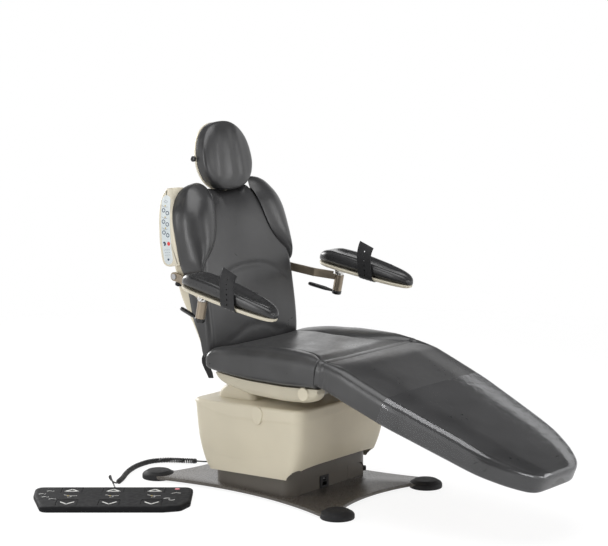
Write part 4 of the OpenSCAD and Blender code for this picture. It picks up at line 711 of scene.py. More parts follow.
# Round caps with a pointed shield in the band, one on each side
shield_r = 25
shield_half = [(0, -43), (3, -42), (8, -38.5), (14, -32), (19, -24), (22.6, -15), (24.6, -7)]
shield_outline = arc(0, 0, shield_r, shield_r, 0, 2, 24)
shield_outline += [(-x, y) for x, y in shield_half[:0:-1]] + shield_half
cap_profile = [(0.5, 0), (22.0, 0), (22.0, 3.2), (21.4, 4.0), (20.2, 4.2), (19.0, 3.6), (18.4, 3.1),
               (0.5, 3.3)]
caps = []
for side in (-1, 1):
    on_side = shift(side * (top_w / 2 - 0.9), -68, housing_top - 23)
    on_side = on_side @ turn("Y", 90 * side) @ turn("Z", 90 * side)
    caps.append(plate_piece("shield", shield_outline, -2.5, 4.2, 1.6, beige, on_side, 3, 50))
    caps.append(turned("cap", cap_profile, beige, on_side, 56))
belongs(joined("housing_side_caps", caps), "housing", "beige_plastic", "housing_caps")

# Neck cover over the tilt hinge
neck_w, neck_top, neck_draft = 196, 396, 26
rings = []
for a in math.pi / 2 * np.linspace(0, 1, 14):
    draft = neck_draft * (1 - math.cos(a))
    foot = round_box(-neck_w + draft, neck_w - draft, 20 + draft, 206 - 2 * draft, 30, 8, 6)
    z0 = 352.3 - housing_fall * foot[:, 1]
    rings.append(np.c_[foot, z0 + (neck_top - z0) * math.sin(a)])
belongs(lofted("neck_cover_shell", rings, beige), "housing", "beige_plastic", "neck_cover")

# Foot caps under the corners of the plate, and the plate
foot_x, foot_y = 272, 442
cap_curve = smooth([13.5, 63], [17, 61.6], [21, 58.4], [24.5, 52.5], [27.2, 47.6], [29.2, 45], [30, 42.5])
cap_profile = [(0.5, 0.5), (60.5, 0.5), (62.2, 1.0), (63, 2.6), (63, 13.5)]
cap_profile += [(cap_curve(z), z) for z in np.linspace(14.5, 29.6, 15)]
cap_profile += [(40, 30.2), (30, 30.8), (0.5, 31)]
caps = [turned("cap", cap_profile, soft_rubber, shift(x * foot_x, y * foot_y, 0), 64)
        for x in (-1, 1) for y in (-1, 1)]
foot_caps = joined("corner_foot_caps", caps)
belongs(foot_caps, "base", "rubber_black", "foot_caps")
belongs(softened("base_plate", "floor_plate", plate_paint, 3.0, 3), "base", "steel_dark", "base_plate")

# Seat pan under the cushion, in a darker beige copy that paints the seat's shadow on it
seat_rear, seat_l = 170, 522
pan_rear, pan_l, pan_half, pan_r = 126, 486, 287, 30
pan_foot_share = smooth([0, 0.7], [0.02, 0.5], [0.05, 0.36], [0.19, 0.15], [0.34, 0.05], [0.6, 0.03],
                        [0.8, 0.08], [0.9, 0.17], [0.96, 0.3], [0.99, 0.44], [1, 0.54])
seat_foot_share = smooth([0, 0.18], [0.08, 0.11], [0.2, 0.05], [0.42, 0], [0.66, 0], [0.86, 0.04], [1, 0.08])


def seat_foot(y):
    return 446 + 130 * seat_foot_share((seat_rear - y) / seat_l)


rings = []
for s in eased(46):
    y = pan_rear - pan_l * s
    z0 = 386 + 100 * pan_foot_share(s)
    z1 = max(z0 + 2, seat_foot(y) + 3)
    r = min(pan_r, (z1 - z0) * 0.6)
    wide_r = r * 1.5
    section = arc(-pan_half + wide_r, z0 + r, wide_r, r, 2, 3, 12)
    section += arc(pan_half - wide_r, z0 + r, wide_r, r, 3, 4, 12)
    section += [(x, z1) for x in (pan_half - 3, pan_half * 0.5, -pan_half * 0.5, -pan_half + 3)]
    rings.append([(x, y, z) for x, z in section])
seat_pan = lofted("seat_underpan", rings, pan_beige_shaded)
cut_away(seat_pan, prism("front_gap", [(-246, -420), (246, -420), (232, -170), (-232, -170)], 300, 520))
finished(seat_pan, pan_beige_shaded)
belongs(seat_pan, "seat", "beige_plastic", "seat_pan")

# One cover over seat and leg: rings stand upright on the seat, fan out over the knee, then lean with the leg
cover_half, cover_top = 302, 578
leg_l, leg_start = 906, 27.2
hinge_y, hinge_z = -352.0, 462.0
lift_at_knee = 70.95
seat_fall = smooth([0, 0.95], [0.05, 0.72], [0.14, 0.48], [0.3, 0.2], [0.45, 0.1], [0.6, 0], [0.75, 0],
                   [0.88, 0.05], [1, 0.3])
seat_dish = smooth([0, 0.25], [0.1, 0.45], [0.3, 0.7], [0.6, 1], [0.8, 0.95], [0.93, 0.62], [1, 0.53])
leg_width = smooth([0, 0.995], [0.18, 1], [0.36, 0.99], [0.5, 0.94], [0.66, 0.872], [0.78, 0.815],
                   [0.88, 0.69], [0.96, 0.513], [0.985, 0.42], [0.997, 0.315], [1, 0.2])
leg_top = smooth([0, 0.49], [0.04, 0.7], [0.09, 0.9], [0.14, 1], [0.36, 1], [0.66, 0.95], [0.83, 0.83],
                 [0.94, 0.7], [1, 0.6])
leg_pinch = smooth([0, 0], [0.96, 0], [0.985, 0.08], [0.997, 0.3], [1, 0.55])
crease_x = smooth([-620, 262], [-520, 268], [-440, 284], [-400, 280], [-345, 246], [-300, 212], [-235, 182],
                  [-160, 172], [-84, 176], [55, 192], [130, 206], [170, 216])
crease_depth = smooth([-560, 0], [-470, 0.1], [-420, 0.55], [-380, 0.9], [-330, 1], [-200, 1], [-60, 0.85],
                      [60, 0.5], [140, 0.2], [170, 0.05])
rim_n, bolster_cols, middle_cols = 20, 26, 30


# Half of the top, from the side at mid height to the middle: x and height over the section's centre line
def top_half(w, h, crease, across, down):
    down = min(down, h * 0.96)
    a = np.linspace(0, math.pi / 2, rim_n - 2)
    rim_x = np.concatenate([[w, w], w - across + across * np.cos(a) ** 0.9])
    rim_u = np.concatenate([[0, (h - down) / 2], h - down + down * np.sin(a) ** 0.9])
    edge = min(crease, rim_x[-1] - 6)
    outer = rim_x[-1] + (edge - rim_x[-1]) * (1 - (1 - np.linspace(0, 1, bolster_cols + 1)[1:]) ** 1.35)
    inner = edge * (1 - np.linspace(0, 1, middle_cols + 1)[1:]) ** 1.12
    x = np.concatenate([rim_x, outer, inner])
    return x, np.concatenate([rim_u, np.full(len(outer) + len(inner), h)]), edge


# Height change over the top: the middle lies lower than the side bolsters, which start at a crease
def bolster_form(x, w, crease, dish, depth):
    inside = np.clip((crease - x) / crease, 0, 1)
    middle = -dish * (1 - 0.25 * (1 - fade(inside / 0.6)))
    reach = np.clip((x - crease) / np.maximum(w - crease, 1), 0, 1)
    swell = 1 - (1 - reach) ** 2.6
    outer = -dish + dish * swell + 7.0 * depth * np.sin(math.pi * reach ** 0.8)
    formed = np.where(x < crease, middle, outer)
    groove = -4.5 * depth * np.exp(-np.abs(x - crease) / 5.5)
    plain = -dish * (1 - fade((x / w - 0.45) / 0.42))
    return plain + (formed - plain) * depth + groove


def cover_section(w, u0, u1, crease, dish, depth, size):
    mid, h = (u0 + u1) / 2, (u1 - u0) / 2
    x, u, edge = top_half(w, h, crease, size, size * 1.12)
    u = mid + u + bolster_form(x, w, edge, dish, depth) * fade((u / h - 0.35) / 0.5)
    a = np.linspace(0, math.pi, 46)[1:-1]
    under = np.c_[-w * bulge(np.cos(a), 7), mid - h * np.abs(np.sin(a)) ** (2 / 7)]
    return np.vstack([mirrored(x, u), under])


def leg_section(s):
    w = cover_half * leg_width(s)
    low, high = -66 + 27 * s, 53 * leg_top(s)
    pinch = (high - low) / 2 * leg_pinch(s)
    crown = 5 * (1 - leg_pinch(s)) * fade(s / 0.12)
    return w, low + pinch, high - pinch, crown


# Each row: lean, the point that the section leans about, half width, foot, top, dish
cover_rows = []
rear_edge = {170: 10, 167: 5.5, 164: 3, 159: 1.2}
for y in [*rear_edge, *np.arange(154, -330, -6.0), *np.arange(-332, -352, -3.0)]:
    s = (seat_rear - y) / seat_l
    inset = rear_edge.get(y, 0)
    cover_rows.append((0, y, 0, cover_half - inset, seat_foot(y) + inset,
                       cover_top - inset - 40 * seat_fall(s), 17 * seat_dish(s)))
w1, low1, high1, _ = leg_section(leg_start / leg_l)
for t in np.linspace(0, 1, 17):
    low = (seat_foot(hinge_y) - hinge_z) * (1 - t) + (low1 + lift_at_knee) * t
    high = (566 - hinge_z) * (1 - t) + (high1 + lift_at_knee) * t
    cover_rows.append((leg_slope * t, hinge_y, hinge_z, cover_half + (w1 - cover_half) * t, low, high,
                       9 * (1 - t) + 4 * t))
lean = math.radians(leg_slope)
for s in [*np.arange(32, 700, 6.0), *np.arange(702, 850, 5.0), *np.arange(853, 896, 3.0),
          897, 899, 901, 902.5, 904, 905, 905.7]:
    w, low, high, crown = leg_section(s / leg_l)
    cover_rows.append((leg_slope, leg_pin_y - math.cos(lean) * s, leg_pin_z - math.sin(lean) * s, w, low,
                       high, -crown + 4 * (1 - fade((s - 30) / 90))))

cover_points = []
for degrees, oy, oz, w, low, high, dish in cover_rows:
    a = math.radians(degrees)
    on_top = oy - high * math.sin(a)
    depth = crease_depth(on_top) if on_top > -555 else 0.0
    firm = fade((-oy - 250) / 150) if degrees < leg_slope else 1.0
    section = cover_section(w, low, high, min(crease_x(on_top), w * 0.93), dish, depth,
                            (50 - 18 * firm) * min(1, w / 230))
    if degrees > 0 or oy < -300:
        off_seam = abs(degrees - 6.5) if degrees < leg_slope else 99
        groove = 7.0 * math.exp(-(off_seam / 1.3) ** 2)
        x = section[:, 0]
        x -= np.sign(x) * groove * fade((np.abs(x) - w * 0.9) / (w * 0.05))
    u = section[:, 1]
    cover_points.append(np.c_[section[:, 0], oy - u * math.sin(a), oz + u * math.cos(a)])
cover_points = np.array(cover_points)

# Pleats below the knee on both sides, and slow waves along the sides
x, y, z = np.moveaxis(cover_points, -1, 0)
on_side = np.sign(x) * fade((np.abs(x) - 280) / 18)
pleat = sum(np.exp(-((y - at - lean * (z - 500)) / width) ** 2) for at, lean, width in
            ((-384, 0.10, 3.6), (-393, -0.06, 3.0), (-403, 0.12, 4.0), (-414, 0.02, 4.5)))
pleat *= fade((y + 425) / 25) * fade((-372 - y) / 12) * (1.2 + 3.2 * fade((548 - z) / 40))
wave = np.sin(y / 31.0 + z / 55.0) + 0.6 * np.sin(y / 17.0 - z / 40.0 + 1.3)
cover_points[..., 0] -= on_side * (pleat + wave * 0.5)
seat_cover = lofted("seat_and_leg_cover", cover_points, charcoal_seat_lit, sharp=75)
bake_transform(seat_cover)
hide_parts("seat_cushion", "leg_cushion")

# Back cushion: lumbar swell and a slightly hollow middle
back_half, rear_y, back_low, back_high = 240, 11.6, 30, 640
back_front = smooth([30, -20], [55, -34], [128, -45], [207, -50], [300, -53], [360, -53], [445, -51],
                    [490, -48], [540, -43], [580, -35], [608, -24], [626, -12], [636, -2], [640, 6])
back_width = smooth([30, 1.075], [55, 1.09], [200, 1.1], [335, 1.1], [400, 1.06], [457, 0.98], [609, 0.86],
                    [640, 0.8])
wrap_y = smooth([30, 12], [90, 13], [124, 19], [176, 31], [264, 36], [330, 38], [345, 12], [640, 11.6])
seam_x = smooth([330, 268], [352, 256], [380, 240], [405, 214], [445, 180], [490, 156], [540, 141],
                [580, 132], [615, 126], [655, 119], [690, 116])


def back_section(z):
    half = back_half * back_width(z)
    wrap = max(rear_y, wrap_y(z))
    h = rear_y - back_front(z)
    corner = min(30.0, h * 0.9)
    a = np.linspace(0, math.pi / 2, 16)
    rim_x = half - corner + corner * np.cos(a)
    x = np.concatenate([rim_x, np.linspace(rim_x[-1], 0, 44)[1:]])
    t = np.concatenate([1 - (corner - corner * np.sin(a)) / h, np.ones(43)])
    hollow = 5.0 * fade((z - 360) / 120) * (1 - fade((z - 590) / 50))
    lumbar = 5.5 * math.exp(-((z - 245) / 95) ** 2)
    y = rear_y - h * t + hollow * (1 - fade(x / max(seam_x(z), 60)))
    y -= lumbar * fade((1 - x / 235) / 0.5) * fade(t / 0.9)
    # arch pressed in round the lumbar swell, and a crease near the foot
    arch_z = 348 - 60 * (np.clip(x, 0, 240) / 200) ** 2.4
    y += 2.6 * np.exp(-((z - arch_z) / 13) ** 2) * fade((232 - x) / 40)
    low_z = 78 + 35 * fade((150 - x) / 120)
    y += 1.6 * np.exp(-((z - low_z) / 16) ** 2) * fade((200 - x) / 60)
    inner = half * 0.94
    behind = [(half, rear_y), (half, wrap - 1.5), (half - 2.5, wrap), (inner, wrap - 1), (inner, rear_y),
              (0, rear_y)]
    return np.vstack([mirrored(x, y), [(-x, y) for x, y in behind], behind[-2::-1]])


rings = []
for z in [30, 30.6, 31.8, 34, 37, *np.arange(41, 600, 5.0), *np.arange(602, 634, 3.0), 635, 637, 638.6, 639.6,
          640]:
    section = back_section(np.clip(z, back_low + 0.2, back_high - 0.2))
    k = 1.0
    if z < 41:
        k = math.sqrt(1 - ((41 - z) / 11.2) ** 2) * 0.35 + 0.65
    if z > 632:
        k = math.sqrt(1 - ((z - 632) / 8.1) ** 2) * 0.3 + 0.7
    section[:, 1] = rear_y + (section[:, 1] - rear_y) * k
    beside = np.abs(section[:, 0])
    lift = (3.5 + 15 * fade((beside - 50) / 45)) * (1 - fade((beside - 108) / 24))
    rings.append(np.c_[section, z + lift * fade((z - 540) / 100)])
back_cushion = lofted("back_cushion_cover", rings, charcoal_back_shaded, back_frame, 70)

# Bolsters sewn on both sides of the back
bolster_out = smooth([330, 264], [345, 271], [362, 279], [407, 287], [481, 288], [542, 284], [575, 276],
                     [605, 264], [635, 245], [656, 228], [670, 210], [680, 190], [686, 165])
bolster_flare = smooth([330, 0], [407, 2], [481, 3], [542, 8], [596, 14], [633, 15], [656, 10], [686, 0])
bolster_in = smooth([330, 258], [352, 254], [380, 240], [405, 214], [445, 180], [490, 156], [540, 141],
                    [580, 132], [615, 125], [640, 120], [655, 119], [668, 124], [678, 134], [684, 146],
                    [686, 156])
bolster_seam_y = smooth([330, -34], [360, -46], [405, -53], [445, -54], [490, -52], [540, -48], [580, -42],
                        [615, -31], [640, -18], [655, -10], [670, -2], [686, 4])
bolster_rise = smooth([330, 1], [352, 5], [380, 10], [420, 17], [470, 20], [530, 20], [580, 20], [620, 20],
                      [650, 18], [670, 13], [680, 8], [686, 0])


def bolster_section(z):
    inner, outer = bolster_in(z), bolster_out(z)
    seam_y, rise, flare = bolster_seam_y(z), bolster_rise(z), bolster_flare(z)
    wide = outer - inner
    side_y = 4.0
    back_y = 38.0 if z > 340 else 36.0
    t = np.linspace(0, 1, 26)
    a = math.pi / 2 * t[1:]
    x = [*(inner + wide * 0.46 * t), *(inner + wide * (0.46 + 0.54 * np.sin(a) ** (2 / 2.05))),
         outer + flare * 0.5, outer + flare - 0.5, outer + flare - 3,
         max(min(outer - 12, 266), inner + wide * 0.6), max(min(outer - 12, 264.5), inner + wide * 0.55),
         inner + wide * 0.2]
    y = [*(seam_y - rise * np.sin(math.pi / 2 * t) ** 0.9), *(side_y + (seam_y - rise - side_y) * np.cos(a)),
         side_y + (back_y - side_y) * 0.45, side_y + (back_y - side_y) * 0.9, back_y, back_y, 11.2, 11.2]
    return np.c_[x, y]


rings = []
for z in [*np.linspace(332, 660, 76), *np.linspace(663, 680, 10), 682, 683.5, 684.6, 685.4, 685.9]:
    section = bolster_section(z)
    if z > 664:
        k = math.sqrt(1 - ((z - 664) / 22.05) ** 2)
        section[:, 1] = 12.0 + (section[:, 1] - 12.0) * (0.25 + 0.75 * k)
    if z < 352:
        k = 0.2 + 0.8 * math.sqrt(1 - ((352 - z) / 20.5) ** 2)
        section[:, 1] = -12 + (section[:, 1] + 12) * k
    rings.append(level(section, z))
bolsters = [lofted("bolster", rings, charcoal_back_shaded, back_frame @ flip_x(side), 70) for side in (-1, 1)]
bolsters = joined("back_side_bolsters", bolsters)
for obj in (back_cushion, bolsters):
    belongs(obj, "back", "vinyl", "back_cushion")

# Shell behind the back
shell_foot, shell_run = 58, 612
shell_depth = smooth([0, 0.16], [0.06, 0.26], [0.2, 0.64], [0.4, 0.98], [0.55, 1], [0.78, 0.9], [0.93, 0.7],
                     [1, 0.4])
shell_width = smooth([0, 1.02], [0.06, 1.04], [0.4, 1.07], [0.5, 1.08], [0.58, 1.09], [0.86, 1.09],
                     [0.96, 0.96], [1, 0.78])
rings = []
for s in eased(70):
    half = back_half * shell_width(s)
    deep = 12 + 98 * shell_depth(s)
    r = min(34, (deep - 12) * 0.62)
    wide_r = 1.4 * r
    section = arc(half - wide_r, deep - r, wide_r, r, 0, 1, 12)
    section += arc(wide_r - half, deep - r, wide_r, r, 1, 2, 12)
    section += [(-half, 13.2), (-half + 1, 12.2), (-half * 0.5, 12.2), (half * 0.5, 12.2), (half - 1, 12.2),
                (half, 13.2)]
    rings.append(level(section, shell_foot + shell_run * s))
back_shell = lofted("back_rear_shell", rings, beige, back_frame, 60)
cut_away(back_shell, prism("notch", [(-330, -90), (330, -90), (330, 190), (-330, 190)], 640, 800, back_frame))
finished(back_shell, beige)
belongs(back_shell, "back", "beige_plastic", "back_shell")

# Headrest: an egg-shaped pad with soft upright channels on a thin shell
head_w, head_h = 276, 270
side_depth, face_depth = 30, 32
angles = np.linspace(0, 2 * math.pi, 128, endpoint=False)


# Egg outline, narrower at the top, drawn in or out by a share
def egg(reach, y):
    x, z = bulge(np.cos(angles), 2.55), bulge(np.sin(angles), 2.55)
    t = 0.5 + 0.5 * z
    narrow = 1.0 - 0.20 * (np.maximum(0.0, t - 0.35) / 0.65) ** 1.6 - 0.05 * np.maximum(0.0, 0.35 - t)
    return np.c_[head_w / 2 * x * narrow * reach, np.full(len(angles), y), head_h / 2 * z * reach]


def channels(x, z):
    up = z / (head_h / 2)
    depth = 0.0
    for at_low, at_high, size in ((-92, -58, 3.4), (-15, -1, 3.0), (56, 48, 3.0)):
        depth = depth + size * np.exp(-((x - at_low - (at_high - at_low) * (up + 1) / 2) / 20) ** 2)
    return depth * (1 - fade((np.abs(up) - 0.55) / 0.4))


# The pad leans back a little over its height and its top is drawn down
def leaned(points):
    points = np.array(points, float)
    up = points[..., 2] / head_h
    points[..., 1] += 9 * (up + 0.5)
    points[..., 2] -= 4.5 * fade(up * 2)
    return points


rings = [egg(0.5, 0.3), egg(0.975, 0.3)]
rings += [egg(0.985 + 0.015 * math.sin(math.pi / 2 * min(1, y / 14)), -y)
          for y in (0.4, 2, 6, 10, 15, 20, 25, 30)]
rings += [egg(math.cos(a) ** 0.86, -side_depth - face_depth * math.sin(a) ** 0.62)
          for a in math.pi / 2 * np.arange(1, 30) / 30]
rings = np.array(rings)
x, y, z = np.moveaxis(rings, -1, 0)
around = np.arctan2(z / head_h, x / head_w)
y -= channels(x, z) * fade((-y - 34) / 18)
# Puckers where the cover is drawn over the edge
ripple = np.sin(around * 61) + 0.7 * np.sin(around * 97 + 1.0)
pucker = ripple * 0.55 * fade((-y - 2) / 6) * (1 - fade((-y - 26) / 14))
rings[..., ::2] *= (1 + pucker * 0.005)[..., None]
headrest_pad = lofted("headrest_pad", leaned(rings), charcoal_back_shaded, headrest_frame, 70)
belongs(headrest_pad, "headrest", "vinyl", "headrest_cushion")

rings = [egg(reach, y) for y, reach in ((0.4, 0.4), (0.4, 0.985), (0.7, 1.0), (3, 1.004), (7, 1.0),
                                        (12, 0.975), (16, 0.93), (19.5, 0.86), (22, 0.76), (23.8, 0.62),
                                        (24.7, 0.42), (25, 0.2))]
headrest_shell = lofted("headrest_rear_shell", leaned(rings), cream, headrest_frame, 50)
slots = [prism("slot", [(x - 9, 7), (x + 9, 7), (x + 9, 60), (x - 9, 60)], -170, 26, headrest_frame)
         for x in (-45, 45)]
cut_away(headrest_shell, *slots)
finished(headrest_shell, cream)
belongs(headrest_shell, "headrest", "beige_plastic", "headrest_shell")
knob_profile = [(0.5, -2), (4, -2), (4.5, 0), (9, 0.4), (10.8, 2), (11, 4), (11, 8), (10.2, 10.4), (8, 11.8),
                (0.5, 12)]
lock_place = headrest_frame @ shift(-139, 10, -2) @ turn("Y", -90)
belongs(turned("headrest_lock_knob", knob_profile, black_gloss, lock_place), "headrest_lock", "black_plastic",
        "headrest_knob")

# Arm boards: padded tops with a trough, trays, straps, levers and knobs
tray_z, tray_t, pad_w, pad_t, pad_l, pad_rear = 35, 12, 120, 68, 442, 95
ear_x, ear_r, pin_z = 18.1, 11, 20
peg_x, strap_y = 44, -168
lever_at, knob_at = (130, -266), (0, -26, -16)
pad_width = smooth([0, 0.3], [0.02, 0.52], [0.07, 0.8], [0.16, 0.96], [0.35, 1], [0.6, 0.94], [0.8, 0.8],
                   [0.92, 0.6], [0.98, 0.38], [1, 0.2])
pad_depth = smooth([0, 0.3], [0.02, 0.5], [0.07, 0.78], [0.16, 0.96], [0.35, 1], [0.6, 0.9], [0.8, 0.76],
                   [0.92, 0.6], [0.98, 0.4], [1, 0.24])
strap_lean = smooth([30, -171], [46, -168], [71, -164], [90, -159], [107, -155], [124, -151], [150, -149],
                    [173, -149])


def arm_pad(name, place):
    a = np.linspace(0, 2 * math.pi, 72, endpoint=False)
    x, u = bulge(np.cos(a), 2.7), bulge(np.sin(a), 2.7)
    rings = []
    for s in 0.5 - 0.5 * np.cos(np.linspace(0.03, math.pi - 0.02, 90)):
        dip = 17.0 * (1 - np.abs(x) ** 1.9) ** 1.7 * min(1, 5.2 * s * (1 - s))
        from_fold = (x - 0.34 + 0.5 * (s - 0.7)) / 0.12
        folds = 2.6 * np.exp(-from_fold ** 2) * fade((s - 0.42) / 0.2) * fade((0.97 - s) / 0.2)
        up = pad_t * pad_depth(s) * (u + 1) / 2 - (dip + folds) * (u > 0)
        rings.append(np.c_[pad_w / 2 * pad_width(s) * x, np.full(len(a), pad_rear - pad_l * s),
                           tray_z + tray_t + 0.3 + np.maximum(up, 0)])
    return lofted(name, rings, charcoal_pads_shaded, place, 70)


def tray_piece(name, place):
    s = eased(64)
    x, y = pad_w / 2 * pad_width(s), pad_rear - pad_l * s
    outline = np.vstack([np.c_[x, y], np.c_[-x, y][::-1]])
    middle = np.array([0, pad_rear - pad_l / 2])
    size = np.array([pad_w / 2, pad_l / 2])
    insets = ((30, 37.5), (10, 36.8), (7.5, 35.2), (5, 36.2), (3.2, 38.6), (2.2, 41.5), (1.6, 44.5),
              (1.6, 46.2), (2.4, 47.0), (12, 47.1))
    rings = [level((outline - middle) * (1 - inset / size) + middle, z) for inset, z in insets]
    pieces = [lofted(name, rings, cream, place, 60)]
    ear = arc(0, pin_z, ear_r, ear_r, 2, 4, 14) + [(ear_r, 38), (-ear_r, 38)]
    for x in (-ear_x, ear_x):
        rings = [[(x + dx, y * k, pin_z + (z - pin_z) * (k if z < 30 else 1)) for y, z in ear]
                 for dx, k in ((-3, 0.9), (-2.4, 1), (2.4, 1), (3, 0.9))]
        pieces.append(lofted("ear", rings, silver, place, 60))
    pieces.append(solid_bar("pin", [(x, 0, pin_z) for x in (-23, -22, 0, 22, 23)], 10, silver, place, 24,
                            0.25))
    turn_only = np.array(place)
    turn_only[:3, 3] = 0
    peg = turned("peg", [(0.3, -2.6), (2.4, -2.6), (3.4, -1.8), (3.5, -0.8), (3.5, 4.5), (0.3, 4.5)], silver,
                 turn_only, 20)
    rows = [[(x, strap_y + y, 32.6) for y in (-18, 0, 18)] for x in (-peg_x, peg_x)]
    return joined(name, pieces + [set_out("pegs", rows, peg, 18, silver, place)])


# Rubber strap: it lies under the tray, its long end with the holes stands up on one side
def strap_piece(name, place, near):
    bend_r = 20
    w = pad_w / 2 * pad_width((pad_rear - strap_y) / pad_l) + 4.5
    bend = arc(w - bend_r, tray_z + 17, bend_r, bend_r, 0, -1, 11)
    near_x = smooth([52, w], [80, w + 1.5], [110, w + 1], [140, w - 3], [158, w - 8], [170, w - 14])
    up = [(near_x(z), z) for z in np.linspace(170, 54, 24)]
    under = [(x, tray_z - 3.2) for x in np.linspace(w - 26, -w + 26, 9)]
    other = [(-x, z) for x, z in bend[::-1]] + [(-w, z) for z in np.linspace(58, 90, 7)]
    path = np.array(up + bend + under + other)
    ahead = np.gradient(path, axis=0)
    ahead /= np.linalg.norm(ahead, axis=1, keepdims=True)
    edge = np.array([(-34, 0.7), (-33.2, 1.5), (0, 1.5), (33.2, 1.5), (34, 0.7)])
    y, thick = np.vstack([edge, -edge]).T
    rings = []
    for (x, z), t in zip(path, ahead):
        slant = 7.0 * fade((z - 120) / 50) if x > 0 else 0.0
        middle = strap_lean(z) if x > 0 else strap_y
        rings.append(np.c_[near * (x - t[1] * thick), middle + y, z + t[0] * thick + slant * y / 34])
    strap = lofted(name, rings, strap_rubber, place, 60)
    punch = turned("punch", [(0.3, -30), (3.1, -30), (3.1, 30), (0.3, 30)], None, turn("Y", 90), 20)
    line = [(near * w, strap_lean(z), z) for z in 53.0 + 18.0 * np.arange(6)]
    holes = set_out("holes", [line], punch, 18.0, None)
    into = np.array(place)
    into[:3, 3] *= MM
    holes.data.transform(Matrix(into))
    cut_away(strap, finished(holes))
    return finished(strap, strap_rubber, 45)


def lever_piece(name, place):
    collar = [(10, -0.2), (17.6, -0.2), (18.8, -1.4), (19, -3), (19, -12.4), (17.8, -14.6), (15, -15),
              (10, -15)]
    grip = [(0.3, 0), (3.0, 0), (4.9, 1), (5.2, 8), (6.6, 24), (7.6, 32), (8, 38), (8, 96), (7.6, 103),
            (6.4, 108), (4.4, 111), (2, 112), (0.3, 112.2)]
    along = place @ shift(*lever_at, -65.8) @ turn("Z", 13) @ shift(0, 16, 0) @ turn("X", -90)
    return joined(name, [turned("collar", collar, black_gloss, place @ shift(*lever_at, -58.3), 56),
                         turned("grip", grip, black_gloss, along, 40)])


def knob_piece(name, place):
    lobes = 8
    a = np.linspace(0, 2 * math.pi, 96, endpoint=False)
    rings = []
    for r, z in ((0.5, -0.6), (11, -0.6), (13.2, -1.6), (14, -3.4), (14, -6.5), (13.2, -9.5), (11.6, -11.8),
                 (9.5, -12.6), (0.5, -12.6)):
        dent = r * (1 - 0.07 * np.maximum(0, np.cos(a * lobes)) ** 2 * min(1, r / 11))
        rings.append(level(np.c_[dent * np.cos(a), dent * np.sin(a)], z))
    at = place @ shift(*knob_at)
    return joined(name, [lofted("head", rings, black_matt, at, 50),
                         turned("stem", [(0.3, -1), (2, -1), (2, 15), (0.3, 15)], silver, at, 20)])


arm_sides = ((-1, "left"), (1, "right"))
for side, word in arm_sides:
    pad = arm_pad(word + "_arm_board_pad", pad_frame(side))
    belongs(pad, word + "_pad", "vinyl", word + "_arm_pad")
for side, word in arm_sides:
    place = pad_frame(side)
    belongs(tray_piece(word + "_arm_board_tray", place), word + "_pad", "beige_plastic", word + "_arm_tray")
    belongs(strap_piece(word + "_arm_board_strap", place, -side), word + "_pad", "rubber_black",
            word + "_arm_strap")
    place = arm_frame(side)
    belongs(lever_piece(word + "_clamp_lever", place), word + "_lever", "black_plastic", word + "_arm_lever")
    belongs(knob_piece(word + "_star_knob", place), word + "_knob", "black_plastic", word + "_arm_knob")
    bar = softened(word + "_arm_bar", word + "_arm_carrier", bronze, 1.1, 2)
    belongs(bar, word + "_arm", "bronze_metal", word + "_arm_bar")

# Control panel on the side of the back
panel_low, panel_top, panel_fore = 386, 680, 36
panel_rear = smooth([386, 88], [389, 101], [396, 112], [408, 119.5], [430, 122.5], [470, 121.5], [520, 115.5],
                    [580, 104], [625, 89], [650, 76], [668, 60], [677, 47], [680, 40])
outline = [(panel_fore, z) for z in np.linspace(panel_top, panel_low, 40)]
outline += [(y, panel_low) for y in np.linspace(40, 84, 8)]
outline += [(panel_rear(z), z) for z in [386.4, 387.2, 388.4, 390, 393, 397, 402, *np.arange(410, 660, 8),
                                         664, 669, 673, 676, 678.4, 679.6]]
panel_axes = np.array([[0, 0, -1, 0], [1, 0, 0, 0], [0, 1, 0, 0], [0, 0, 0, 1.0]])
panel_place = back_frame @ shift(-262, 0, 0) @ panel_axes
panel_housing = plate_piece("control_panel_housing", outline, 0, 30, 7.5, cream, panel_place, 6, 60)
rings = []
for x, low in ((-268, 0), (-262, 0), (-240, 0), (-218, 1), (-200, 3), (-188, 7), (-179, 14), (-175, 24)):
    section = [(40, z) for z in np.linspace(674 - low, 560, 12)] + [(y, 560) for y in np.linspace(50, 92, 5)]
    section += [(panel_rear(z) - 7 - low * 0.6, z - low) for z in np.linspace(566, 662, 12)]
    section += [(52, 676 - low), (46, 679.6 - low), (42, 679 - low)]
    rings.append([(x, y, z) for y, z in section])
panel_housing = joined("control_panel_housing",
                       [panel_housing, lofted("shoulder", rings, cream, back_frame, 50)])
belongs(panel_housing, "back", "beige_plastic", "panel_housing")

# Printed film on the panel, along a slightly curved middle line
film_low, film_top, film_half = 395, 655, 23
mid = smooth([395, 84], [440, 84], [500, 79], [560, 70], [610, 58], [643, 48])
low, top = film_low + film_half, film_top - film_half
film_outline = [(mid(z) + film_half, z) for z in np.linspace(low, top, 30)]
film_round = arc(0, 0, film_half, film_half, 0, 2, 16)[1:-1]
film_outline += [(mid(top) + x - y * 5 / film_half, top + y) for x, y in film_round]
film_outline += [(mid(z) - film_half, z) for z in np.linspace(top, low, 30)]
film_outline += arc(mid(low), low, film_half, film_half, 2, 4, 16)[1:-1]


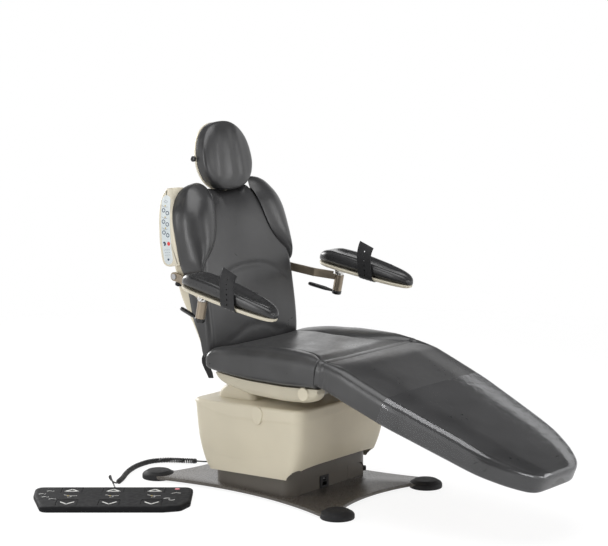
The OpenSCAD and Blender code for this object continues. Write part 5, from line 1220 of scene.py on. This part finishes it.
# Small flat marks printed on a face: rings, discs, bars and outlines
class Marks:
    def __init__(self, place, z0, z1):
        self.place, self.z0, self.z1, self.pieces = place, z0, z1, []

    def shape(self, outline, material):
        self.pieces.append(prism("mark", outline, self.z0, self.z1, self.place, material, 30))

    def disc(self, x, y, r, material, squash=1.0):
        self.shape(arc(x, y, r, r * squash, 0, 4, 27)[:-1], material)

    def ring(self, x, y, r, thick, material, squash):
        rows = [level(arc(x, y, rr, rr * squash, 0, 4, 32)[:-1], z) for rr, z in
                ((r, self.z0), (r, self.z1), (r - thick, self.z1), (r - thick, self.z0), (r, self.z0))]
        self.pieces.append(lofted("mark", rows, material, self.place, 30, ends=False))

    def bar(self, a, b, thick, material):
        along = (b - a) / np.linalg.norm(b - a)
        n = np.array([-along[1], along[0]]) * thick / 2
        self.shape([a - n, b - n, b + n, a + n], material)

    def line(self, points, thick, material, closed=False):
        points = np.array(points + points[:1] if closed else points, float)
        for a, b in zip(points[:-1], points[1:]):
            d = (b - a) / np.linalg.norm(b - a) * thick * 0.45
            self.bar(a - d, b + d, thick, material)

    def arc(self, x, y, r, start, end, thick, material):
        outer, inner = (arc(x, y, rr, rr, start / 90, end / 90, 13) for rr in (r, r - thick))
        self.shape(outer + inner[::-1], material)


marks = Marks(panel_place, 30.8, 31.15)
marks.line([(mid(632) - 9, 630), (mid(632), 637), (mid(632) + 9, 633), (mid(632), 626)], 1.1, grey_print,
           True)
for z in (594, 552, 511):
    x = mid(z)
    marks.ring(x + 8.5, z + 6.5, 8.8, 3.0, navy, 0.9)
    marks.ring(x - 8.5, z - 6.0, 8.8, 3.0, navy, 0.9)
    marks.line([(x + 14, z + 26), (x + 6, z + 20), (x - 2, z + 17), (x - 14, z + 17)], 1.2, grey_print)
    marks.disc(x - 3, z + 22, 3.0, amber)
marks.arc(mid(474) + 11, 475, 8.0, 30, 300, 5.5, navy)
marks.disc(mid(474) - 11, 473, 7.6, red_print)
for z in (451, 441, 431):
    for k in (-1, 0, 1):
        x = mid(z) + 10 * k
        marks.bar(np.array([x - 3.6, z + 1.2 * k]), np.array([x + 3.6, z]), 1.3, grey_print)
marks.disc(mid(415), 414, 5.0, navy, 0.8)
film = plate_piece("control_panel_film", film_outline, 29.6, 30.9, 0.5, printed_film(), panel_place, 2, 60)
belongs(joined("control_panel_film", [film, joined("control_panel_marks", marks.pieces)]),
        "back", "panel_film", "panel_face")

# Foot control: case with pockets, gland and printed signs
case_x, case_y, case_r = 263, 108, 34
key_half, key_r, key_gap = 38.6, 6, 0.8
key_places = {"lift": -155, "back": 0, "tilt": 155}
key_rows = {"up": 92, "down": -78}
stop_place = pedal_frame @ shift(238, 106, 0)


# Hull round the circles at the case's corners
def case_outline():
    centres = [(-case_x, case_y), (-case_x + 4, case_y * 0.37), (-case_x + 44, -case_y),
               (case_x - 66, -case_y), (case_x - 20, -case_y * 0.88), (case_x, -case_y * 0.5),
               (case_x, case_y)]
    cloud = sorted({(round(px, 4), round(py, 4)) for cx, cy in centres
                    for px, py in arc(cx, cy, case_r, case_r, 0, 4, 72)[:-1]})

    def half_hull(points):
        hull = []
        for q in points:
            while len(hull) > 1 and ((hull[-1][0] - hull[-2][0]) * (q[1] - hull[-2][1])
                                     - (hull[-1][1] - hull[-2][1]) * (q[0] - hull[-2][0])) <= 0:
                hull.pop()
            hull.append(q)
        return hull[:-1]
    return np.array(half_hull(cloud) + half_hull(cloud[::-1]))


def key_outline(x, y, half, steps):
    return round_box(x - half, x + half, y - half, y + half, key_r, steps, 2)


outline = case_outline()
out = outward(outline)
case_insets = ((9, 0.3), (4.5, 0.4), (2.0, 1.2), (0.6, 3), (0, 6), (0, 12.5), (0.5, 15.2), (1.8, 17.6),
               (4.2, 19.6), (7.5, 21), (12, 21.8), (18, 22))
rings = [level(outline - out * inset, z) for inset, z in case_insets]
pedal_case = lofted("foot_control_case", rings, pedal_black, pedal_frame, 50)
pockets = [prism("pocket", key_outline(x, y, key_half + key_gap, 4), 8.8, 30, pedal_frame)
           for x in key_places.values() for y in key_rows.values()]
pockets.append(turned("pocket", [(0.3, 8.8), (10.2, 8.8), (10.2, 30), (0.3, 30)], None, stop_place, 40))
cut_away(pedal_case, *pockets)
finished(pedal_case, pedal_black)
gland_profile = [(0.3, -2), (4.8, -2), (5.6, 0), (5.6, 2), (4.7, 2.6)]
for k in range(4):
    z, r = 3.4 + k * 2.8, 4.7 - k * 0.35
    gland_profile += [(r, z), (r, z + 1.5), (r - 0.7, z + 1.7), (r - 0.7, z + 2.6)]
gland_profile += [(3.0, 15.4), (2.7, 16), (0.3, 16)]
gland = turned("gland", gland_profile, soft_rubber, pedal_frame @ shift(0, 142, 11) @ turn("X", -90), 28)
belongs(joined("foot_control_case", [pedal_case, gland]), "base", "black_plastic", "pedal_case")
signs = Marks(pedal_frame, 21.9, 22.25)
for x in key_places.values():
    signs.line([(x - 22, 26), (x - 8, 16), (x + 6, 12), (x + 26, 14)], 2.2, white_print)
    signs.line([(x + 6, 12), (x + 6, -2), (x - 6, -6)], 2.0, white_print)
    signs.disc(x - 6, 14, 4.5, amber)
for x, y in ((-236, 70), (-262, 30), (-246, -10), (-216, -38)):
    signs.arc(x, y, 12, 20, 160, 3.4, white_print)
    signs.line([(x + 6, y + 8), (x + 12, y + 2), (x + 15, y + 10)], 2.4, white_print)
signs.arc(208, -30, 13, 20, 170, 3.2, white_print)
signs.arc(226, -36, 13, 200, 350, 3.2, white_print)
signs.line([(222, 46), (236, 54), (252, 50)], 3.0, white_print)
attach(joined("foot_control_signs", signs.pieces), "base")

for word, x in key_places.items():
    for way, y in key_rows.items():
        outline = key_outline(x, y, key_half, 5)
        rings = [level((outline - [x, y]) * k + [x, y], z) for k, z in
                 ((0.98, 12), (1, 12.2), (1, 18.6), (0.995, 19.8), (0.975, 20.6), (0.9, 20.8), (0.72, 20.2),
                  (0.4, 19.6), (0.1, 19.4))]
        key = lofted("key", rings, pedal_black, pedal_frame, 60)
        sign = Marks(pedal_frame, 19.2, 21.1)
        point = 1 if way == "up" else -1
        sign.line([(x - 24, y - 12 * point), (x, y + 15 * point), (x + 24, y - 12 * point)], 5.0, white_print)
        if way == "up":
            sign.line([(x - 24, y - 12), (x + 24, y - 12)], 4.0, white_print)
        belongs(joined(f"foot_control_key_{word}_{way}", [key, joined("sign", sign.pieces)]),
                f"key_{word}_{way}", "key_rubber", f"pedal_key_{word}_{way}")
stop_profile = [(0.3, 12), (9.9, 12), (9.9, 21.4), (9.4, 22.6), (8.2, 23.2), (4, 22.8), (0.3, 22.6)]
belongs(turned("foot_control_stop_key", stop_profile, rose_print, stop_place, 40),
        "stop_key", "stop_key", "pedal_stop_key")

# Curly cord: a lead out of the base, the curls in one tube, and a lead that rises before the foot control
curls, curl_r, cord_d, curl_points = 78, 7.6, 5.8, 14
cord_lowest = 2.75
lead_in = [[44, 216, 44], [44, 232, 42], [43, 252, 35], [41, 276, 26.5], [38, 306, 23.4], [34, 340, 23.4],
           [29, 368, 23.6], [24, 386, 23.4], [15, 408, 16], [4, 428, 10], [-10, 446, 9.6]]
curl_route = [[-26, 466, 11], [-52, 512, 11], [-92, 574, 11], [-146, 606, 11], [-222, 602, 11],
              [-294, 576, 11], [-348, 546, 11], [-400, 512, 11], [-446, 488, 11]]
lead_out = [[-454, 484, 10], [-461, 483, 10], [-468, 488, 13], [-472, 500, 20], [-471, 511, 28],
            [-467, 514, 34], [-468, 508, 36], [-476, 497, 31], [-486, 480, 22], [-497, 462, 14],
            [-508, 446, 11], [-519.7, 431.1, 11]]


# Smooth line through the points of a route, and the route's length
def along_route(points):
    points = np.array(points, float)
    run = np.concatenate([[0], np.cumsum(np.linalg.norm(np.diff(points, axis=0), axis=1))])
    n = len(points) - 1

    def found(s):
        s = np.asarray(s, float)
        i = np.clip(np.searchsorted(run, s, side="right") - 1, 0, n - 1)
        t = ((s - run[i]) / (run[i + 1] - run[i]))[:, None]
        a, b, c, d = points[np.maximum(i - 1, 0)], points[i], points[i + 1], points[np.minimum(i + 2, n)]
        return 0.5 * (2 * b + (c - a) * t + (2 * a - 5 * b + 4 * c - d) * t * t
                      + (3 * b - a - 3 * c + d) * t ** 3)
    return found, run[-1]


def unit(v):
    return v / np.linalg.norm(v, axis=1, keepdims=True)


steps = curls * curl_points
k = np.arange(steps + 1)
on_curls, route_l = along_route(curl_route)
s, near = route_l * k / steps, 2 * route_l / steps
ahead = unit(on_curls(np.minimum(s + near, route_l)) - on_curls(np.maximum(s - near, 0)))
side_way = unit(np.c_[ahead[:, 1], -ahead[:, 0], np.zeros(len(k))])
up_way = np.cross(side_way, ahead)
angle = (2 * math.pi * k / curl_points)[:, None]
ramp = np.minimum(1, np.minimum(k / curl_points, (steps - k) / curl_points))[:, None]
curl_line = on_curls(s) + (side_way * np.cos(angle) + up_way * np.sin(angle)) * (curl_r * ramp)
on_first, first_l = along_route(lead_in)
on_last, last_l = along_route(lead_out)
cord_line = np.concatenate([on_first(np.arange(0, first_l, 5.0)), curl_line[1:-1],
                            on_last(np.append(np.arange(0, last_l - 3, 4.0), last_l))])
cord_line[:, 2] = np.maximum(cord_line[:, 2], cord_lowest)
cord = solid_bar("curly_cord", cord_line, cord_d, cord_sheath(), None, 10, 0.1, 80)
belongs(cord, "base", "cord_rubber", "pedal_cord")

# Clear sheet drawn over the foot end, just outside the leg section's cover and a little past its tip
sheet_gap, tip_start, tip_l, sheet_under = 2.2, 880, 26, 12
upper = 2 * (rim_n + bolster_cols + middle_cols) - 1
rows = []
for s in [*np.arange(318, 850, 7.0), *np.arange(853, 896, 4.0), 897, 900, 902.5, 904.2, 905.4]:
    w, low, high, crown = leg_section(min(s / leg_l, 0.9995))
    section = cover_section(w, low, high, w * 0.85, -crown, 0.0, 32 * min(1, w / 230))
    normal = outward(section)
    flip = np.sign(np.sum(normal * (section - [0, (low + high) / 2]), axis=1, keepdims=True))
    section = section + normal * np.where(flip == 0, 1, flip) * sheet_gap
    kept = np.concatenate([section[upper + 32:], section[:upper + sheet_under]])
    tip = max(0.0, s - tip_start) / tip_l * sheet_gap
    rows.append(np.c_[kept[:, 0], np.full(len(kept), -s - tip), kept[:, 1]])
columns = len(rows[0])
points = np.vstack([*rows, rows[-1].mean(0)])
last = len(points) - 1
faces = grid_faces(len(rows), columns, closed=False)
faces += [(a, a + 1, last) for a in range(last - columns, last - 1)]
foot_sheet = new_piece("clear_foot_sheet", points, faces, clear_sheet(), leg_frame, 70)
belongs(foot_sheet, "leg", "clear_vinyl", "foot_cover")

# Cloth tail hanging at the rear corner of the seat
tail_edge = ((-1.6, -1, 0), (1.6, -1, 0), (1.6, 1, 3), (-1.6, 1, 3))
tail_line = ((-232, 212, 590, 30), (-237, 206, 562, 28), (-241, 204, 536, 24), (-246, 210, 514, 15),
             (-248, 218, 498, 13), (-247, 216, 480, 15), (-245, 207, 462, 16), (-243, 198, 444, 15),
             (-242, 190, 424, 11))
rings = [[(x + dx, y + share * wide, z - drop) for dx, share, drop in tail_edge]
         for x, y, z, wide in tail_line]
belongs(lofted("seat_corner_tail", rings, soft_rubber, None, 60), "seat", "rubber_black")

# Piping down the seam of each bolster
run = np.linspace(338, 656, 70)
lines = [np.c_[side * (bolster_in(run) - 0.5), bolster_seam_y(run) - 0.4, run] for side in (-1, 1)]
piping_form = {"Radius": 0.9 * MM, "Sides": 10, "Material": charcoal_back_shaded}
piping = grown("back_seam_piping", lines, sweep_tree(), piping_form, back_frame, 60)
belongs(piping, "back", "vinyl")

# Ribs of the cord's gland
rib = turned("rib", [(3.2, -1.2), (6.8, -1.2), (7.6, -0.5), (7.6, 0.5), (6.8, 1.2), (3.2, 1.2)], soft_rubber,
             None, 28)
gland_line = [(44, 218, 43.6), (43.9, 226, 43.0), (43.7, 234, 41.4), (43.5, 240, 39.4)]
gland_ribs = set_out("gland_ribs", [gland_line], rib, 3.8, soft_rubber, None, 1.0, 0.06, 7)
belongs(gland_ribs, "base", "rubber_black")

# Nodes of the frame that keep their own form
kept_nodes = {taupe: "lower_shroud access_panel", beige: "pivot_covers", board_wood: "seat_board leg_frame",
              black_matt: "power_inlet", black_gloss: "power_rocker", soft_rubber: "cable_grommet cord_gland",
              ground_steel: "lift_column lift_motor tilt_bracket seat_frame back_frame",
              silver: "lift_piston tilt_pins tilt_jack seat_pins headrest_bars left_arm_post right_arm_post"}
for finish, nodes in kept_nodes.items():
    for node in nodes.split():
        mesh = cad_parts[node].data
        mesh.materials.clear()
        mesh.materials.append(finish)


# Floor: it keeps the shadow, looks white, and fades out before its rim
def stage_floor():
    radius, n = 6000, 96
    f = Finish("pale_floor")
    f.set(Base_Color=(0.93, 0.93, 0.93), Roughness=0.9, Specular_IOR_Level=0.1)
    ray = f.node("ShaderNodeLightPath").outputs
    seen = f.math("MAXIMUM", f.math("MAXIMUM", ray["Is Camera Ray"], ray["Is Glossy Ray"]),
                  ray["Is Transmission Ray"])
    white = f.node("ShaderNodeEmission", Color=(1.0, 1.0, 1.0), Strength=1.1)
    bright = f.blend(f.math("MULTIPLY", seen, 0.8), f.shader, white)
    far = f.node("ShaderNodeVectorMath", {0: f.place}, operation="LENGTH").outputs["Value"]
    f.shown(f.blend(f.range(far, 1.4, 4.0, 0.0, 1.0), bright, f.node("ShaderNodeBsdfTransparent")))
    rim = arc(0, 0, radius, radius, 0, 4, n)[:-1]
    faces = [(0, 1 + k, 1 + (k + 1) % n) for k in range(n)]
    new_piece("floor", level([(0, 0)] + rim, 0), faces, f.material)


# Dark ceiling and dark wall behind the camera, which shape the reflections
def studio_screen(name, corners):
    f = Finish(name)
    f.set(Base_Color=(0.03, 0.03, 0.03), Roughness=1.0, Specular_IOR_Level=0.0)
    ray = f.node("ShaderNodeLightPath").outputs
    f.shown(f.blend(ray["Is Camera Ray"], f.shader, f.node("ShaderNodeBsdfTransparent")))
    new_piece(name, corners, [(0, 1, 2, 3)], f.material)


stage_floor()
ceiling_z, reach = 3800, 6000
ceiling = [(x * reach, y * reach, ceiling_z) for x, y in ((-1, -1), (-1, 1), (1, 1), (1, -1))]
studio_screen("studio_ceiling", ceiling)
studio_screen("studio_wall", [(-9600, -2400, -100), (-3300, -8100, -100), (-3300, -8100, ceiling_z),
                              (-9600, -2400, ceiling_z)])


# World: white where it is seen or mirrored, a plain level where it lights
def studio_world():
    world = bpy.data.worlds.new("studio")
    scene.world = world
    world.use_nodes = True
    sky = world.node_tree
    sky.nodes.clear()
    ray = sky.nodes.new("ShaderNodeLightPath").outputs
    seen = ray["Is Camera Ray"]
    for kind in ("Is Glossy Ray", "Is Transmission Ray"):
        either = sky.nodes.new("ShaderNodeMath")
        either.operation = "MAXIMUM"
        sky.links.new(seen, either.inputs[0])
        sky.links.new(ray[kind], either.inputs[1])
        seen = either.outputs[0]
    choose = sky.nodes.new("ShaderNodeMixShader")
    sky.links.new(seen, choose.inputs[0])
    for i, tone, strength in ((1, (1.0, 0.995, 0.985, 1), 0.64), (2, (1, 1, 1, 1), 1.0)):
        light = sky.nodes.new("ShaderNodeBackground")
        light.inputs["Color"].default_value = tone
        light.inputs["Strength"].default_value = strength
        sky.links.new(light.outputs[0], choose.inputs[i])
    sky.links.new(choose.outputs[0], sky.nodes.new("ShaderNodeOutputWorld").inputs[0])


def soft_box(name, at, towards, size, power):
    lamp = bpy.data.lights.new(name, "AREA")
    lamp.shape = "RECTANGLE"
    lamp.size, lamp.size_y = size
    lamp.energy = power
    aimed(linked(name, lamp), at, towards)


studio_world()
soft_box("overhead_box", (-0.6, -0.4, 3.4), (0, 0, 0.5), (3.0, 3.0), 92)
soft_box("back_box", (0.2, 3.6, 1.6), (0, 0, 0.6), (1.8, 1.2), 84)
soft_box("back_right_box", (2.6, 2.6, 1.6), (0, 0, 0.6), (1.8, 1.2), 4)
soft_box("front_right_box", (2.0, -3.4, 1.8), (0, -0.2, 0.6), (1.8, 1.6), 30)
soft_box("camera_side_box", (-1.8, -5.4, 1.4), (0, -0.2, 0.6), (1.8, 1.6), 50)
soft_box("left_strip_box", (-3.6, 0.9, 1.4), (0, 0.1, 0.8), (0.7, 2.4), 34)
